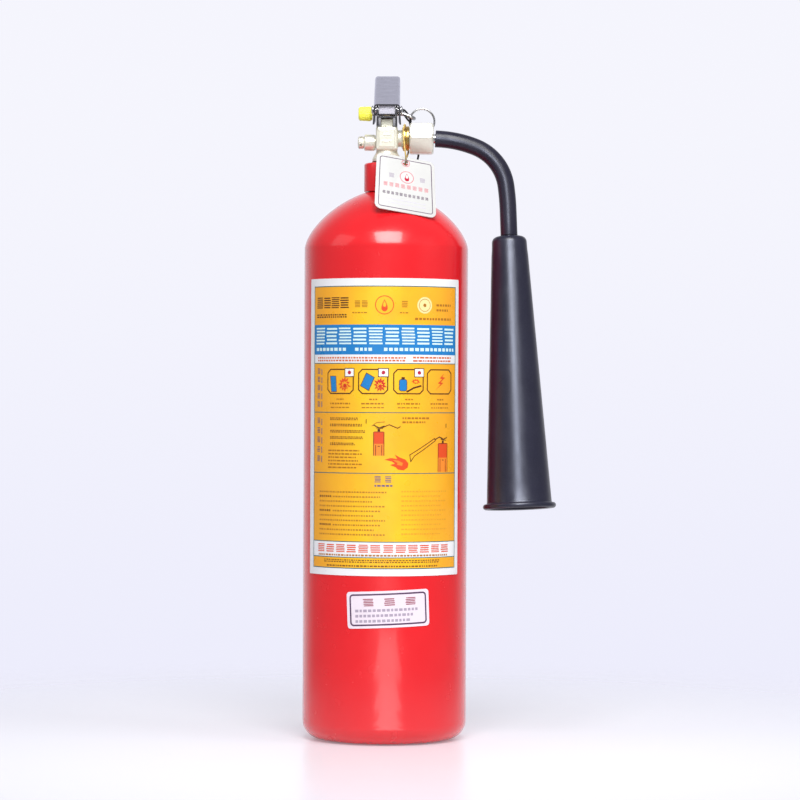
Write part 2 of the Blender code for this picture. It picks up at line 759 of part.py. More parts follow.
def make_hang_tag():
    width, height = TAG_SIZE
    corner = 5.0
    outline = []
    for x, y, start in (
        (width / 2 - corner, height - corner, 0), (-width / 2 + corner, height - corner, 90),
        (-width / 2 - TAG_FLARE + corner, corner, 180), (width / 2 + TAG_FLARE - corner, corner, 270),
    ):
        outline += arc((x, y), corner, start, start + 90, 4)
    hole = arc((0, height - TAG_HOLE_DOWN), TAG_HOLE_R, 0, 337.5, 15)
    face = TAG_ACROSS.cross(TAG_UP)
    turn = Matrix((TAG_ACROSS, TAG_UP, face)).transposed().to_euler()
    plate("hang_tag", [outline, hole], TAG_THICK, "tag_card", at=TAG_FOOT, turn=turn)


def string_route():
    """From the knot in front of the tag's hole, up and round the lock ring, and back through the
    hole from behind."""
    hole = TAG_SIZE[1] - TAG_HOLE_DOWN
    knot = tag_point(0, hole, KNOT_R + TAG_THICK)
    behind = tag_point(0, hole, -2.2)
    start = knot + (KNOT_R + GAP) * Vector((-0.1, 0.35, 0.93)).normalized()
    end = tag_point(0, hole, TAG_THICK - GAP)
    front_x, back_x = 13.2, 17.6
    away = math.degrees(math.atan2(behind.z - OUTLET_Z, behind.y))
    distance = math.hypot(behind.z - OUTLET_Z, behind.y)
    spread = math.degrees(math.acos(STRING_LOOP_R / distance))
    first, last, steps = away - spread + 360, away + spread, 14
    points = [start]
    for i in range(steps + 1):
        angle = math.radians(first + (last - first) * i / steps)
        x = front_x + (back_x - front_x) * i / steps
        points.append(Vector((
            x, STRING_LOOP_R * math.cos(angle), OUTLET_Z + STRING_LOOP_R * math.sin(angle),
        )))
    points.append(points[-1].lerp(behind, 0.5))
    points += [behind, end]
    return points, knot


def make_tag_string():
    points, knot = string_route()
    wire("tag_string", points, STRING_R, "gold_cord", 2)
    mesh = bpy.data.meshes.new("string_knot")
    ball = bmesh.new()
    bmesh.ops.create_uvsphere(ball, u_segments=12, v_segments=8, radius=KNOT_R * MM)
    ball.to_mesh(mesh)
    ball.free()
    add("string_knot", mesh, "gold_cord", at=knot)


def make_labels():
    wrapped("front_label", LABEL_ANGLES, LABEL_Z, "label_film", steps=28)
    wrapped(
        "inspection_label", STICKER_ANGLES, STICKER_Z, "sticker_film", STICKER_TILT, steps=14
    )


def main():
    swivel = frame_at("discharge_swivel", (0, 0, OUTLET_Z), (-SWIVEL_TILT, 0, 0))
    make_cylinder()
    make_neck_ring()
    make_valve_body()
    make_neck_gasket()
    make_dip_tube()
    make_stem()
    make_stem_spring()
    make_gland_nut()
    make_burst_plug()
    make_outlet()
    make_discharge(swivel)
    make_carry_handle()
    make_squeeze_lever()
    make_pivot()
    make_safety_pin()
    make_pull_ring()
    make_seal_tie()
    make_seal_cap()
    make_hang_tag()
    make_tag_string()
    make_labels()
    hang_on(frame_at("lever_hinge", PIVOT), "squeeze_lever")
    hang_on(frame_at("pin_slide", PIN), "safety_pin", "seal_cap")
    hang_on(frame_at("ring_hinge", eye_centre()[0]), "pull_ring", "seal_tie")
    hang_on(frame_at("tag_hinge", (0, 0, OUTLET_Z)), "hang_tag", "tag_string", "string_knot")
    for obj in PARTS.objects:
        smooth(obj)


clear_scene()
PARTS = new_collection("co2_extinguisher")
CUTTERS = new_collection("cutters")
main()
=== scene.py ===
"""The looks of the carbon-dioxide extinguisher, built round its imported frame.

Sizes are in millimetres, as in the CAD, and the helper functions turn them into metres.
The label faces -Y, the horn hangs on the +X side and the grips point towards +Y.
"""

import json
from math import acos, asin, atan2, cos, degrees, hypot, pi, radians, sin, tan

import bmesh
import bpy
from mathutils import Matrix, Vector

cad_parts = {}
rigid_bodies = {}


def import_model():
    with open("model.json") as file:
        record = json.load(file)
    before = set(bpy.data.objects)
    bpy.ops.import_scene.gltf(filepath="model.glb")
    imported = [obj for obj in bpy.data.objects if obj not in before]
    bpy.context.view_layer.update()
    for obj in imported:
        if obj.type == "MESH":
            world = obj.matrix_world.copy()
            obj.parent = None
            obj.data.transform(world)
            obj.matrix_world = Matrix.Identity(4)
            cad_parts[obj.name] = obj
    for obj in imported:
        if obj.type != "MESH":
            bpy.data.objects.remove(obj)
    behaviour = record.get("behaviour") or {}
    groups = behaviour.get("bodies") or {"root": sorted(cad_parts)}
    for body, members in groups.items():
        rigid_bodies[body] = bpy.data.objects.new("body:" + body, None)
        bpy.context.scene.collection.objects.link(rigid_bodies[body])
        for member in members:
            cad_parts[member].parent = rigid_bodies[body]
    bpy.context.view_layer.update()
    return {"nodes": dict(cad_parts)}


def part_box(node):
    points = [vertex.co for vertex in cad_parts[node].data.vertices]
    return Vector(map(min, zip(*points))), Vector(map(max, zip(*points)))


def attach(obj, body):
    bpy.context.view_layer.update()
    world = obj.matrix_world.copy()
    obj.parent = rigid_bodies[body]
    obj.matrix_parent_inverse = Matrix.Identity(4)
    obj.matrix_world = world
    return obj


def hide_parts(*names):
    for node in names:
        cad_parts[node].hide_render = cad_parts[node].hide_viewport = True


for leftover in list(bpy.data.objects):
    bpy.data.objects.remove(leftover)

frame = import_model()

MM = 0.001
ROOT = "cylinder_and_valve"  # the body that stands still
GAP = 0.3  # in threads, and between pieces that don't touch


def cad_box(node):
    """Lowest and highest corner of a CAD node, in millimetres."""
    low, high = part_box(node)
    return low / MM, high / MM


# Cylinder, from its node and the ring's; the dome's shape is a superellipse
BODY_R = cad_box("cylinder")[1].x
NECK_TOP = cad_box("cylinder")[1].z
BASE_CORNER = 15.0
SHOULDER_Z = 397.5
DOME_H = 50.0
DOME_POWER = 1.6
WALL = 4.5
NECK_R = 14.7
NECK_BORE = 9.6
RING_R = cad_box("neck_ring")[1].x
RING_LOW = cad_box("neck_ring")[0].z
RING_TOP = cad_box("neck_ring")[1].z

# Valve
FLANGE_Z = NECK_TOP + 2.1
BLOCK_Z = 478.0
BLOCK_TOP = 497.0
BLOCK_HALF = 8.9
BLOCK_DEPTH = 20.0
TOWER_TOP = 503.4
OUTLET_Z = (cad_box("union_nut")[0].z + cad_box("union_nut")[1].z) / 2
PLUG_Z = (cad_box("burst_disc")[0].z + cad_box("burst_disc")[1].z) / 2
SEAT_Z = 482.3
NUT_X = cad_box("union_nut")[0].x
NUT_END = cad_box("union_nut")[1].x
NUT_FLATS = 24.8

# Grips, pivot and pin
PLATE_Z = 505.2
SHEET = 1.5
HANDLE_HALF = 8.5
LEVER_SHEET = 1.3
LEVER_HALF = 10.65
LEVER_FRONT = -16.0
LEVER_FRONT_Z = 514.5
LEVER_SLOPE = radians(17.1)
GRIP_END = cad_box("squeeze_lever")[1].y
LEVER_STROKE = radians(13.0)
PIVOT = Vector((0, -9.5, 510.3))
PIVOT_R = 2.4
STEM_TOP = cad_box("stem_cap")[1].z
PIN = Vector((0, 16.0, 509.5))
PIN_R = 1.6
PIN_TIP = -21.0
EYE_R = 3.4
EYE_DIP = radians(21.0)
RING_MAJOR = 10.2
RING_WIRE = 1.15

# Discharge side
TUBE_R = 4.0
SLEEVE_R = 6.9
SWIVEL_TILT = radians(4.5)
HORN_LENGTH = 222.0
HORN_MOUTH_R = 26.1
HORN_BEAD_R = 2.3

# Labels and tag
LABEL_LOW, LABEL_HIGH = cad_box("front_label")
LABEL_OUTER = -LABEL_LOW.y
LABEL_LEFT = asin(LABEL_LOW.x / LABEL_OUTER)
LABEL_SIZE = (145.6, LABEL_HIGH.z - LABEL_LOW.z)
FILM_LIFT = 0.12  # of the film's inner face above the paint
FILM = 0.25
INK_LIFT = 0.035  # between one layer of ink and the next
INK_THICK = 0.02
GRID_SPACING = 1.8  # of the cuts that let a film and its inks bend
STICKER_ANGLES = (radians(-26.2), radians(32.1))
STICKER_Z = (94.5, 123.8)
STICKER_TILT = radians(2.4)
TAG_SIZE = (49.0, 54.4)
TAG_FLARE = 1.2
TAG_THICK = 0.8
TAG_FOOT = Vector((15.3, -48.7, 424.6))
TAG_ACROSS = Vector((0.9550, 0.2500, -0.1524))
TAG_UP = Vector((0.0, 0.5206, 0.8538))
TAG_FACE = TAG_ACROSS.cross(TAG_UP)
TAG_CORNER = 5.0
TAG_HOLE = TAG_SIZE[1] - 6.0
TAG_HOLE_R = 2.2
STRING_LOOP_R = 11.4
STRAND_R = 0.4
KNOT_R = 1.5

PLUS_Y = Vector((0, 1, 0))
ALONG_X = Matrix.Rotation(pi / 2, 4, "Y")
ALONG_MINUS_X = Matrix.Rotation(-pi / 2, 4, "Y")
IN_YZ = Matrix.Rotation(pi / 2, 4, "Z") @ Matrix.Rotation(pi / 2, 4, "X")
UPRIGHT = Matrix.Identity(4)

LOOKS = bpy.data.collections.new("looks")
bpy.context.scene.collection.children.link(LOOKS)


# ---------------------------------------------------------------- materials


def linear(red, green, blue):
    """A display colour, 0 to 255, as scene-linear values."""
    found = []
    for value in (red, green, blue):
        value /= 255
        found.append(value / 12.92 if value <= 0.04045 else ((value + 0.055) / 1.055) ** 2.4)
    return found


def configure(thing, **settings):
    """Sets these properties of a node, a modifier or a data block."""
    for name, value in settings.items():
        setattr(thing, name, value)
    return thing


def add_node(tree, kind, inputs=None, **settings):
    """A shader node with these settings. Each of its inputs is wired or set to a constant."""
    node = configure(tree.nodes.new("ShaderNode" + kind), **settings)
    for socket, value in (inputs or {}).items():
        if isinstance(value, bpy.types.NodeSocket):
            tree.links.new(value, node.inputs[socket])
        else:
            node.inputs[socket].default_value = value
    return node


def remap(tree, value, low, high, to_low=0.0, to_high=1.0, smooth=True):
    inputs = dict(enumerate((value, low, high, to_low, to_high)))
    kind = "SMOOTHSTEP" if smooth else "LINEAR"
    return add_node(tree, "MapRange", inputs, interpolation_type=kind).outputs[0]


def blend(tree, amount, first, second):
    """Two colours, mixed by the amount."""
    return add_node(tree, "Mix", {0: amount, 6: first, 7: second}, data_type="RGBA").outputs[2]


class Finish:
    """A Principled material in the piece's own space, with noise laid over its constants."""

    def __init__(self, name, colour, roughness, metallic=0.0, **sockets):
        self.name = name
        self.material = bpy.data.materials.new(name)
        self.material.use_nodes = True
        self.tree = self.material.node_tree
        self.shader = self.tree.nodes["Principled BSDF"]
        self.roughness = roughness
        sockets.update(base_color=(*colour, 1), roughness=roughness, metallic=metallic)
        for socket, value in sockets.items():
            label = socket.replace("_", " ").title().replace("Ior", "IOR")
            self.shader.inputs[label].default_value = value
        self.place = add_node(self.tree, "TexCoord").outputs["Object"]
        self.last_bump = None

    def feed(self, value, socket):
        self.tree.links.new(value, self.shader.inputs[socket])
        return self

    def noise(self, per_metre, detail=3.0, stretch=(1, 1, 1)):
        """A noise value of about that many features a metre. A stretch under 1 draws it out."""
        place = add_node(self.tree, "Mapping", {"Vector": self.place, "Scale": stretch}).outputs[0]
        inputs = {"Vector": place, "Scale": per_metre, "Detail": detail}
        return add_node(self.tree, "TexNoise", inputs).outputs[0]

    def rescale(self, value, *bounds, smooth=False):
        return remap(self.tree, value, *bounds, smooth=smooth)

    def compute(self, operation, first, second):
        return add_node(self.tree, "Math", {0: first, 1: second}, operation=operation).outputs[0]

    def coordinate(self, axis):
        return add_node(self.tree, "SeparateXYZ", {0: self.place}).outputs[axis]

    def tint(self, amount, colour):
        """Blends the base colour towards another one where the amount is high."""
        base = self.shader.inputs["Base Color"]
        before = base.links[0].from_socket if base.links else base.default_value
        return self.feed(blend(self.tree, amount, before, (*colour, 1)), "Base Color")

    def patches(self, per_metre, strength, colour):
        """Soft patches of another colour."""
        return self.tint(self.rescale(self.noise(per_metre), 0.42, 0.68, 0, strength), colour)

    def worn_roughness(self, per_metre, spread):
        low, high = self.roughness - spread, self.roughness + spread
        return self.feed(self.rescale(self.noise(per_metre), 0.3, 0.7, low, high), "Roughness")

    def bump(self, height_value, height_mm):
        """Lays a height, 0 to 1 for that many millimetres, over what is there."""
        inputs = {"Strength": 1.0, "Distance": height_mm * MM, "Height": height_value}
        if self.last_bump:
            inputs["Normal"] = self.last_bump
        self.last_bump = add_node(self.tree, "Bump", inputs).outputs["Normal"]
        return self.feed(self.last_bump, "Normal")

    def grain(self, per_metre, height_mm, **noise):
        return self.bump(self.noise(per_metre, **noise), height_mm)

    def rings(self, per_metre, height_mm):
        """Fine turning or drawing marks round the piece's own Z."""
        inputs = {"Vector": self.place, "Scale": per_metre, "Distortion": 0.6, "Detail": 2}
        wave = add_node(self.tree, "TexWave", inputs, wave_type="BANDS", bands_direction="Z")
        return self.bump(wave.outputs["Fac"], height_mm)


def make_materials():
    """Every finish by name."""
    red = Finish("red_paint", (0.76, 0.010, 0.016), 0.24, coat_weight=0.5, coat_roughness=0.06)
    red.patches(9, 0.30, (0.62, 0.006, 0.012)).worn_roughness(60, 0.04)
    red.grain(420, 0.012, detail=2).grain(2600, 0.0016, detail=1)
    foot = red.rescale(red.coordinate("Z"), 0.0, 0.005, 1, 0, smooth=True)
    scuff = red.rescale(red.noise(260, detail=6, stretch=(1, 1, 3)), 0.52, 0.60, 0, 0.8)
    red.tint(red.compute("MULTIPLY", foot, scuff), (0.16, 0.05, 0.05))

    cord = Finish("gold_cord", (0.80, 0.58, 0.16), 0.42, 0.35, sheen_weight=0.4)
    cord.patches(900, 0.6, (0.48, 0.30, 0.07)).grain(6000, 0.03, stretch=(1, 1, 0.3))
    # Painted shade: the cord is darkened where it hangs low, from below the lock ring down to the
    # knot.
    painted_shade_low_run = cord.rescale(cord.coordinate("Z"), 0.468, 0.478, 0.75, 0, smooth=True)
    cord.tint(painted_shade_low_run, (0.16, 0.11, 0.04))

    made = [
        red,
        cord,
        Finish("nickel_plate", (0.83, 0.82, 0.70), 0.36, 0.5)
        .patches(160, 0.30, (0.84, 0.79, 0.66)).worn_roughness(300, 0.07)
        .grain(1500, 0.02).grain(5000, 0.006),
        Finish("machined_nickel", (0.89, 0.87, 0.76), 0.33, 0.6)
        .patches(120, 0.3, (0.84, 0.76, 0.66)).worn_roughness(250, 0.05)
        .rings(900, 0.004).grain(3000, 0.003),
        Finish("brass", (0.83, 0.60, 0.22), 0.27, 1.0)
        .patches(180, 0.5, (0.62, 0.40, 0.14)).worn_roughness(300, 0.07)
        .rings(1100, 0.006).grain(4000, 0.003),
        Finish("black_steel", (0.013, 0.013, 0.018), 0.20, specular_ior_level=0.9, ior=1.9)
        .patches(45, 0.5, (0.022, 0.022, 0.029)).worn_roughness(120, 0.04)
        .grain(1800, 0.010, detail=2),
        Finish("steel", (0.66, 0.66, 0.68), 0.24, 1.0)
        .patches(150, 0.4, (0.50, 0.50, 0.52)).worn_roughness(400, 0.06)
        .grain(2500, 0.0015, stretch=(1, 1, 6)),
        Finish("zinc_plate", (0.74, 0.73, 0.82), 0.36, 0.35)
        .patches(150, 0.4, (0.62, 0.61, 0.70)).worn_roughness(300, 0.06)
        .grain(2000, 0.006, stretch=(0.2, 1, 1)),
        Finish("sleeve_rubber", (0.012, 0.011, 0.024), 0.36)
        .patches(35, 0.45, (0.020, 0.019, 0.038)).worn_roughness(90, 0.06)
        .grain(1400, 0.012).grain(110, 0.05, detail=1),
        Finish("horn_plastic", (0.013, 0.013, 0.028), 0.33)
        .patches(22, 0.5, (0.020, 0.020, 0.040)).patches(700, 0.2, (0.036, 0.036, 0.06))
        .worn_roughness(70, 0.05).grain(2200, 0.010, detail=2).grain(60, 0.04, detail=1),
        Finish(
            "yellow_plastic", (0.95, 0.92, 0.10), 0.34,
            subsurface_weight=0.25, subsurface_radius=(0.002, 0.002, 0.0005),
        ).patches(220, 0.30, (0.84, 0.76, 0.05)).worn_roughness(300, 0.06).grain(1800, 0.008),
        Finish("black_nylon", (0.012, 0.012, 0.013), 0.36)
        .patches(150, 0.5, (0.025, 0.025, 0.027)).worn_roughness(250, 0.08).grain(1500, 0.01),
        Finish("seal_rubber", (0.03, 0.03, 0.03), 0.7)
        .patches(200, 0.4, (0.06, 0.06, 0.06)).grain(2500, 0.01),
        Finish("fibre_washer", (0.20, 0.022, 0.020), 0.7)
        .patches(300, 0.5, (0.12, 0.02, 0.02)).grain(2500, 0.015),
        Finish("dip_plastic", (0.84, 0.84, 0.80), 0.45)
        .patches(60, 0.3, (0.76, 0.76, 0.70)).grain(800, 0.01, stretch=(1, 1, 0.1)),
        Finish("tag_card", (0.60, 0.60, 0.585), 0.40, coat_weight=0.1, coat_roughness=0.12)
        .patches(45, 0.3, (0.70, 0.70, 0.67)).worn_roughness(120, 0.06).grain(500, 0.01),
        # Painted shade: the knot is the same gold cord, coloured dark for the shade in its tight
        # turns.
        Finish("knot_cord_painted_shade", (0.10, 0.07, 0.03), 0.55, sheen_weight=0.3)
        .patches(1200, 0.6, (0.30, 0.20, 0.07)).grain(6000, 0.03),
    ]
    return {finish.name: finish.material for finish in made + make_prints()}


def printed(name, colour, fade=None, strength=0.25):
    """Printing ink on film: a little uneven, with a faint screen grain."""
    ink = Finish(name, colour, 0.30, coat_weight=0.25, coat_roughness=0.1)
    ink.patches(28, strength, fade or [0.84 * value for value in colour])
    ink.patches(900, 0.10, [0.9 * value for value in colour])
    return ink.worn_roughness(80, 0.05).grain(700, 0.006, detail=2)


def make_prints():
    """The films and the inks. The orange is tinted more and more amber from the front's middle out
    to both sides.
    """
    yellow, amber = linear(248, 196, 36), linear(240, 160, 38)
    orange = printed("ink_orange", yellow, amber, 0.5)
    side = orange.compute("ABSOLUTE", orange.coordinate("X"), 0)
    orange.tint(orange.rescale(side, 0.012, 0.056, 0, 0.75, smooth=True), amber)
    colours = {
        "blue": (28, 126, 196), "pale": (214, 240, 238), "teal": (44, 104, 112),
        "brown": (86, 42, 18), "ochre": (176, 112, 26), "red": (206, 48, 28),
        "scarlet": (226, 78, 30), "violet": (104, 92, 128), "crimson": (186, 28, 60),
        "mauve": (172, 160, 178), "umber": (134, 82, 26), "faint": (186, 126, 36),
        "pallid": (226, 160, 42), "amber": (244, 140, 44), "maroon": (128, 36, 18),
        "plum": (84, 56, 88), "mist": (206, 202, 212), "rose": (214, 118, 128),
        "cream": (246, 226, 158), "claret": (152, 38, 70), "rust": (212, 104, 50),
    }
    inks = [printed("ink_" + name, linear(*shade)) for name, shade in colours.items()]
    return inks + [
        orange,
        printed("ink_white", linear(240, 240, 240), linear(226, 224, 226)),
        printed("label_white", linear(238, 238, 240), linear(226, 226, 232)),
        printed("sticker_white", linear(234, 222, 232), linear(222, 208, 222)),
    ]


# ---------------------------------------------------------------- shaping helpers


def link(name, data, finish=None, place=UPRIGHT):
    obj = bpy.data.objects.new(name, data)
    LOOKS.objects.link(obj)
    obj.matrix_world = place
    return paint(obj, finish) if finish else obj


def paint(obj, finish):
    """Gives the object that finish alone."""
    obj.data.materials.clear()
    obj.data.materials.append(FINISHES[finish])
    return obj


def at(x, y, z):
    return Matrix.Translation(Vector((x, y, z)) * MM)


def shade(obj, angle):
    obj.data.shade_smooth()
    obj.data.set_sharp_from_angle(angle=radians(angle))
    return obj


def from_bmesh(name, shape, finish=None, place=UPRIGHT, sharp=32.0):
    mesh = bpy.data.meshes.new(name)
    shape.to_mesh(mesh)
    shape.free()
    return shade(link(name, mesh, finish, place), sharp)


def arc(centre, radius, start, end, steps):
    """Points on an arc, both ends included, in degrees."""
    found = []
    for i in range(steps + 1):
        angle = radians(start + (end - start) * i / steps)
        found.append((centre[0] + radius * cos(angle), centre[1] + radius * sin(angle)))
    return found


def soften(points, radius, closed=False):
    """Rounds the corners of an outline, each by up to that radius."""
    points = [Vector(point) for point in points]
    count = len(points)
    rounded = []
    for i, corner in enumerate(points):
        before, after = points[i - 1] - corner, points[(i + 1) % count] - corner
        plain = not closed and i in (0, count - 1)
        plain = plain or min(before.length, after.length) < 1e-6
        if plain or before.angle(after) > radians(168):
            rounded.append(tuple(corner))
            continue
        reach = min(radius, before.length * 0.45, after.length * 0.45)
        first = corner + before.normalized() * reach
        last = corner + after.normalized() * reach
        for t in (0, 1 / 3, 2 / 3, 1):
            rounded.append(tuple(first * (1 - t) ** 2 + corner * 2 * t * (1 - t) + last * t**2))
    return rounded


def lathe(name, profile, finish, place=UPRIGHT, segments=96, form=None, sharp=32.0):
    """A turned piece about its own Z. The profile's (radius, height) points run down the outside,
    and are a ring if none is on the axis. form(radius, height, angle) may change the radius."""
    ring = all(radius > 1e-6 for radius, _ in profile)
    shape = bmesh.new()
    rows = []
    for radius, height in profile:
        on_axis = radius <= 1e-6
        row = []
        for i in range(1 if on_axis else segments):
            angle = 2 * pi * i / segments
            r = form(radius, height, angle) if form and not on_axis else radius
            spot = (r * cos(angle) * MM, r * sin(angle) * MM, height * MM)
            row.append(shape.verts.new(spot))
        rows.append(row)
    for upper, lower in zip(rows, rows[1:] + (rows[:1] if ring else [])):
        for i in range(segments):
            corners = ((upper, i), (lower, i), (lower, i + 1), (upper, i + 1))
            verts = dict.fromkeys(row[k % len(row)] for row, k in corners)  # a tip counts once
            shape.faces.new(list(verts))
    return from_bmesh(name, shape, finish, place, sharp)


def soft_min(first, second, power):
    return (first**-power + second**-power) ** (-1 / power)


def hexagonal(flats, first_corner=0.0):
    """Radius of a hexagonal bar with slightly rounded corners, by angle."""

    def radius(angle):
        total = 0.0
        for side in range(6):
            facing = cos(angle - first_corner - pi / 6 - side * pi / 3)
            if facing > 0:
                total += (facing * 2 / flats) ** 60
        return total ** (-1 / 60)

    return radius


def settle(obj):
    """The same object as a plain mesh: its modifiers applied, a curve's caps welded."""
    bpy.context.view_layer.update()
    graph = bpy.context.evaluated_depsgraph_get()
    mesh = bpy.data.meshes.new_from_object(obj.evaluated_get(graph))
    welded = bmesh.new()
    welded.from_mesh(mesh)
    bmesh.ops.remove_doubles(welded, verts=welded.verts, dist=1e-7)
    bmesh.ops.dissolve_degenerate(welded, edges=welded.edges, dist=1e-8)
    bmesh.ops.recalc_face_normals(welded, faces=welded.faces)
    welded.to_mesh(mesh)
    welded.free()
    name, place = obj.name, obj.matrix_world.copy()
    bpy.data.objects.remove(obj)
    return link(name, mesh, None, place)


def modify(obj, kind, **settings):
    configure(obj.modifiers.new(kind, kind), **settings)
    return obj


def combine(target, tools, operation="DIFFERENCE"):
    """Cuts the tools from the target, or joins them to it, and clears them away."""
    for tool in tools:
        modify(target, "BOOLEAN", operation=operation, object=tool, solver="EXACT")
    made = settle(target)
    for tool in tools:
        bpy.data.objects.remove(tool)
    return made


def drill(radius, low, high, place=UPRIGHT, segments=48):
    profile = [(0, high), (radius, high), (radius, low), (0, low)]
    return lathe("drill", profile, None, place, segments)


def block(size, bevel, place=UPRIGHT, steps=4):
    """A box with rounded edges, to be joined to something."""
    shape = bmesh.new()
    bmesh.ops.create_cube(shape, size=1.0)
    bmesh.ops.scale(shape, vec=Vector(size) * MM, verts=shape.verts)
    bmesh.ops.bevel(
        shape, geom=shape.edges[:], offset=bevel * MM, segments=steps, profile=0.5, affect="EDGES"
    )
    return from_bmesh("block", shape, None, place)


def skin(obj, voxel, smoothing, finish):
    """One even skin over joined forms, with the small radii that a forging or a casting has."""
    modify(obj, "REMESH", mode="VOXEL", voxel_size=voxel * MM)
    modify(obj, "SMOOTH", factor=0.5, iterations=smoothing)
    made = paint(settle(obj), finish)
    made.data.shade_smooth()
    return made


def curve_through(points, spacing):
    """A smooth curve through the points, sampled about every spacing."""
    points = [Vector(point) for point in points]
    ends = [points[0] * 2 - points[1]] + points + [points[-1] * 2 - points[-2]]
    sampled = []
    for a, b, c, d in zip(ends, ends[1:], ends[2:], ends[3:]):
        steps = max(1, round((c - b).length / spacing))
        for i in range(steps):
            t = i / steps
            sampled.append(0.5 * (
                2 * b + (c - a) * t + (2 * a - 5 * b + 4 * c - d) * t**2
                + (3 * b - 3 * c + d - a) * t**3
            ))
    return sampled + [points[-1]]


def wire(name, points, radius, finish, sides, cyclic=False, filled=True, place=UPRIGHT):
    """A round bar along the points, with 2 * sides + 4 faces round it."""
    data = configure(
        bpy.data.curves.new(name, "CURVE"), dimensions="3D", bevel_depth=radius * MM,
        bevel_resolution=sides, use_fill_caps=filled,
    )
    spline = data.splines.new("POLY")
    spline.points.add(len(points) - 1)
    for point, spot in zip(spline.points, points):
        point.co = (*(Vector(spot) * MM), 1.0)
    spline.use_cyclic_u = cyclic
    return shade(settle(link(name, data, finish, place)), 50)


def round_edges(obj, width, angle=40.0, segments=3):
    return modify(
        obj, "BEVEL", width=width * MM, segments=segments, limit_method="ANGLE",
        angle_limit=radians(angle), miter_outer="MITER_ARC",
    )


def thicken(obj, thickness, offset, even=False):
    """A wall as thick as said, inwards for an offset of -1 and outwards for 1."""
    return modify(
        obj, "SOLIDIFY", thickness=thickness * MM, offset=offset, use_even_offset=even
    )


def channel(name, stations, half, corner, sheet, splay=None):
    """A bent-sheet channel open below. A station is (y, top z, depth of the sides), and it runs
    smoothly from one to the next. splay(y) sets the sides' lower edges outwards."""
    spacing, blur = 0.8, 5
    start, length = stations[0][0], stations[-1][0] - stations[0][0]
    count = round(length / spacing)
    rows = []
    for i in range(-blur, count + blur + 1):
        y = start + length * i / count
        known = max(1, min(len(stations) - 1, sum(station[0] <= y for station in stations)))
        near, far = stations[known - 1], stations[known]
        t = (y - near[0]) / (far[0] - near[0])
        rows.append([near[k] + (far[k] - near[k]) * t for k in range(3)])
    shape = bmesh.new()
    lines = []
    for i in range(blur, len(rows) - blur):
        around = rows[i - blur:i + blur + 1]
        y, top, depth = (sum(row[k] for row in around) / len(around) for k in range(3))
        out = splay(y) if splay else 0.0
        section = [
            (-half - out * (1 - k / 4), top - depth + (depth - corner) * k / 4) for k in range(4)
        ]
        section += arc((-half + corner, top - corner), corner, 180, 90, 7)
        section += arc((half - corner, top - corner), corner, 90, 0, 7)
        section += [
            (half + out * k / 4, top - corner - (depth - corner) * k / 4) for k in range(1, 5)
        ]
        lines.append([shape.verts.new((x * MM, y * MM, z * MM)) for x, z in section])
    for near, far in zip(lines, lines[1:]):
        for i in range(len(near) - 1):
            shape.faces.new((near[i], near[i + 1], far[i + 1], far[i]))
    shape.normal_update()
    return settle(thicken(from_bmesh(name, shape), sheet, -1, even=True))


def flat_plate(outline, thickness, place):
    """A flat piece in its own XY plane, centred on it."""
    shape = bmesh.new()
    low = -thickness / 2 * MM
    face = shape.faces.new([shape.verts.new((x * MM, y * MM, low)) for x, y in outline])
    grown = bmesh.ops.extrude_face_region(shape, geom=[face])
    risen = [item for item in grown["geom"] if isinstance(item, bmesh.types.BMVert)]
    bmesh.ops.translate(shape, vec=(0, 0, thickness * MM), verts=risen)
    bmesh.ops.recalc_face_normals(shape, faces=shape.faces)
    return from_bmesh("plate", shape, None, place)


def ready(piece, body, slot, *nodes):
    """Says what a piece rides on and the nodes that it stands for. The slot is not used."""
    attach(piece, body)
    if nodes:
        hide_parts(*nodes)
    return piece


def dress(node, finish):
    """Gives a CAD node that stays a better material."""
    obj = frame["nodes"][node]
    if not obj.material_slots:
        paint(obj, finish)
    for material_slot in obj.material_slots:
        material_slot.material = FINISHES[finish]


# ---------------------------------------------------------------- cylinder


def dome(radius, height, top_r, steps):
    """The superelliptic shoulder from its upper rim, at radius top_r, down to the wall."""
    last = acos((top_r / radius) ** (DOME_POWER / 2))
    points = []
    for i in range(steps + 1):
        t = last * (1 - i / steps)
        r = radius * cos(t) ** (2 / DOME_POWER)
        points.append((r, SHOULDER_Z + height * sin(t) ** (2 / DOME_POWER)))
    return points


def make_cylinder():
    """Spun seamless shell: one wall from the neck's rim over the dome to the base."""
    wall_top, wall_low = SHOULDER_Z - 8, BASE_CORNER + 6
    outer = [(NECK_R - 0.6, NECK_TOP), (NECK_R, NECK_TOP - 0.6)] + dome(BODY_R, DOME_H, NECK_R, 40)
    outer += [(BODY_R, wall_top + (wall_low - wall_top) * i / 8) for i in range(9)]
    outer += arc((BODY_R - BASE_CORNER, BASE_CORNER), BASE_CORNER, 0, -90, 18)
    inside_r = BODY_R - WALL
    inner = [(0, 7), (inside_r - 10, 7), (inside_r, 20)]
    inner += dome(inside_r, DOME_H - WALL, NECK_BORE, 12)[::-1]
    profile = inner + [(NECK_BORE, NECK_TOP)] + outer + [(0, 0)]
    shell = lathe("cylinder_shell", profile, "red_paint", segments=192)
    ready(shell, ROOT, "red_paint", "cylinder")


def make_neck_ring():
    """Steel collar shrunk on the neck, painted with the cylinder."""
    bore = NECK_R + GAP
    profile = [
        (RING_R - 1.2, RING_TOP), (RING_R, RING_TOP - 1.2), (RING_R, RING_LOW + 0.4),
        (RING_R - 0.4, RING_LOW), (bore, RING_LOW + 1.1), (bore, RING_TOP),
    ]
    ring = lathe("neck_collar", soften(profile, 0.5, True), "red_paint", segments=120)
    ready(ring, ROOT, "red_paint", "neck_ring")


# ---------------------------------------------------------------- valve


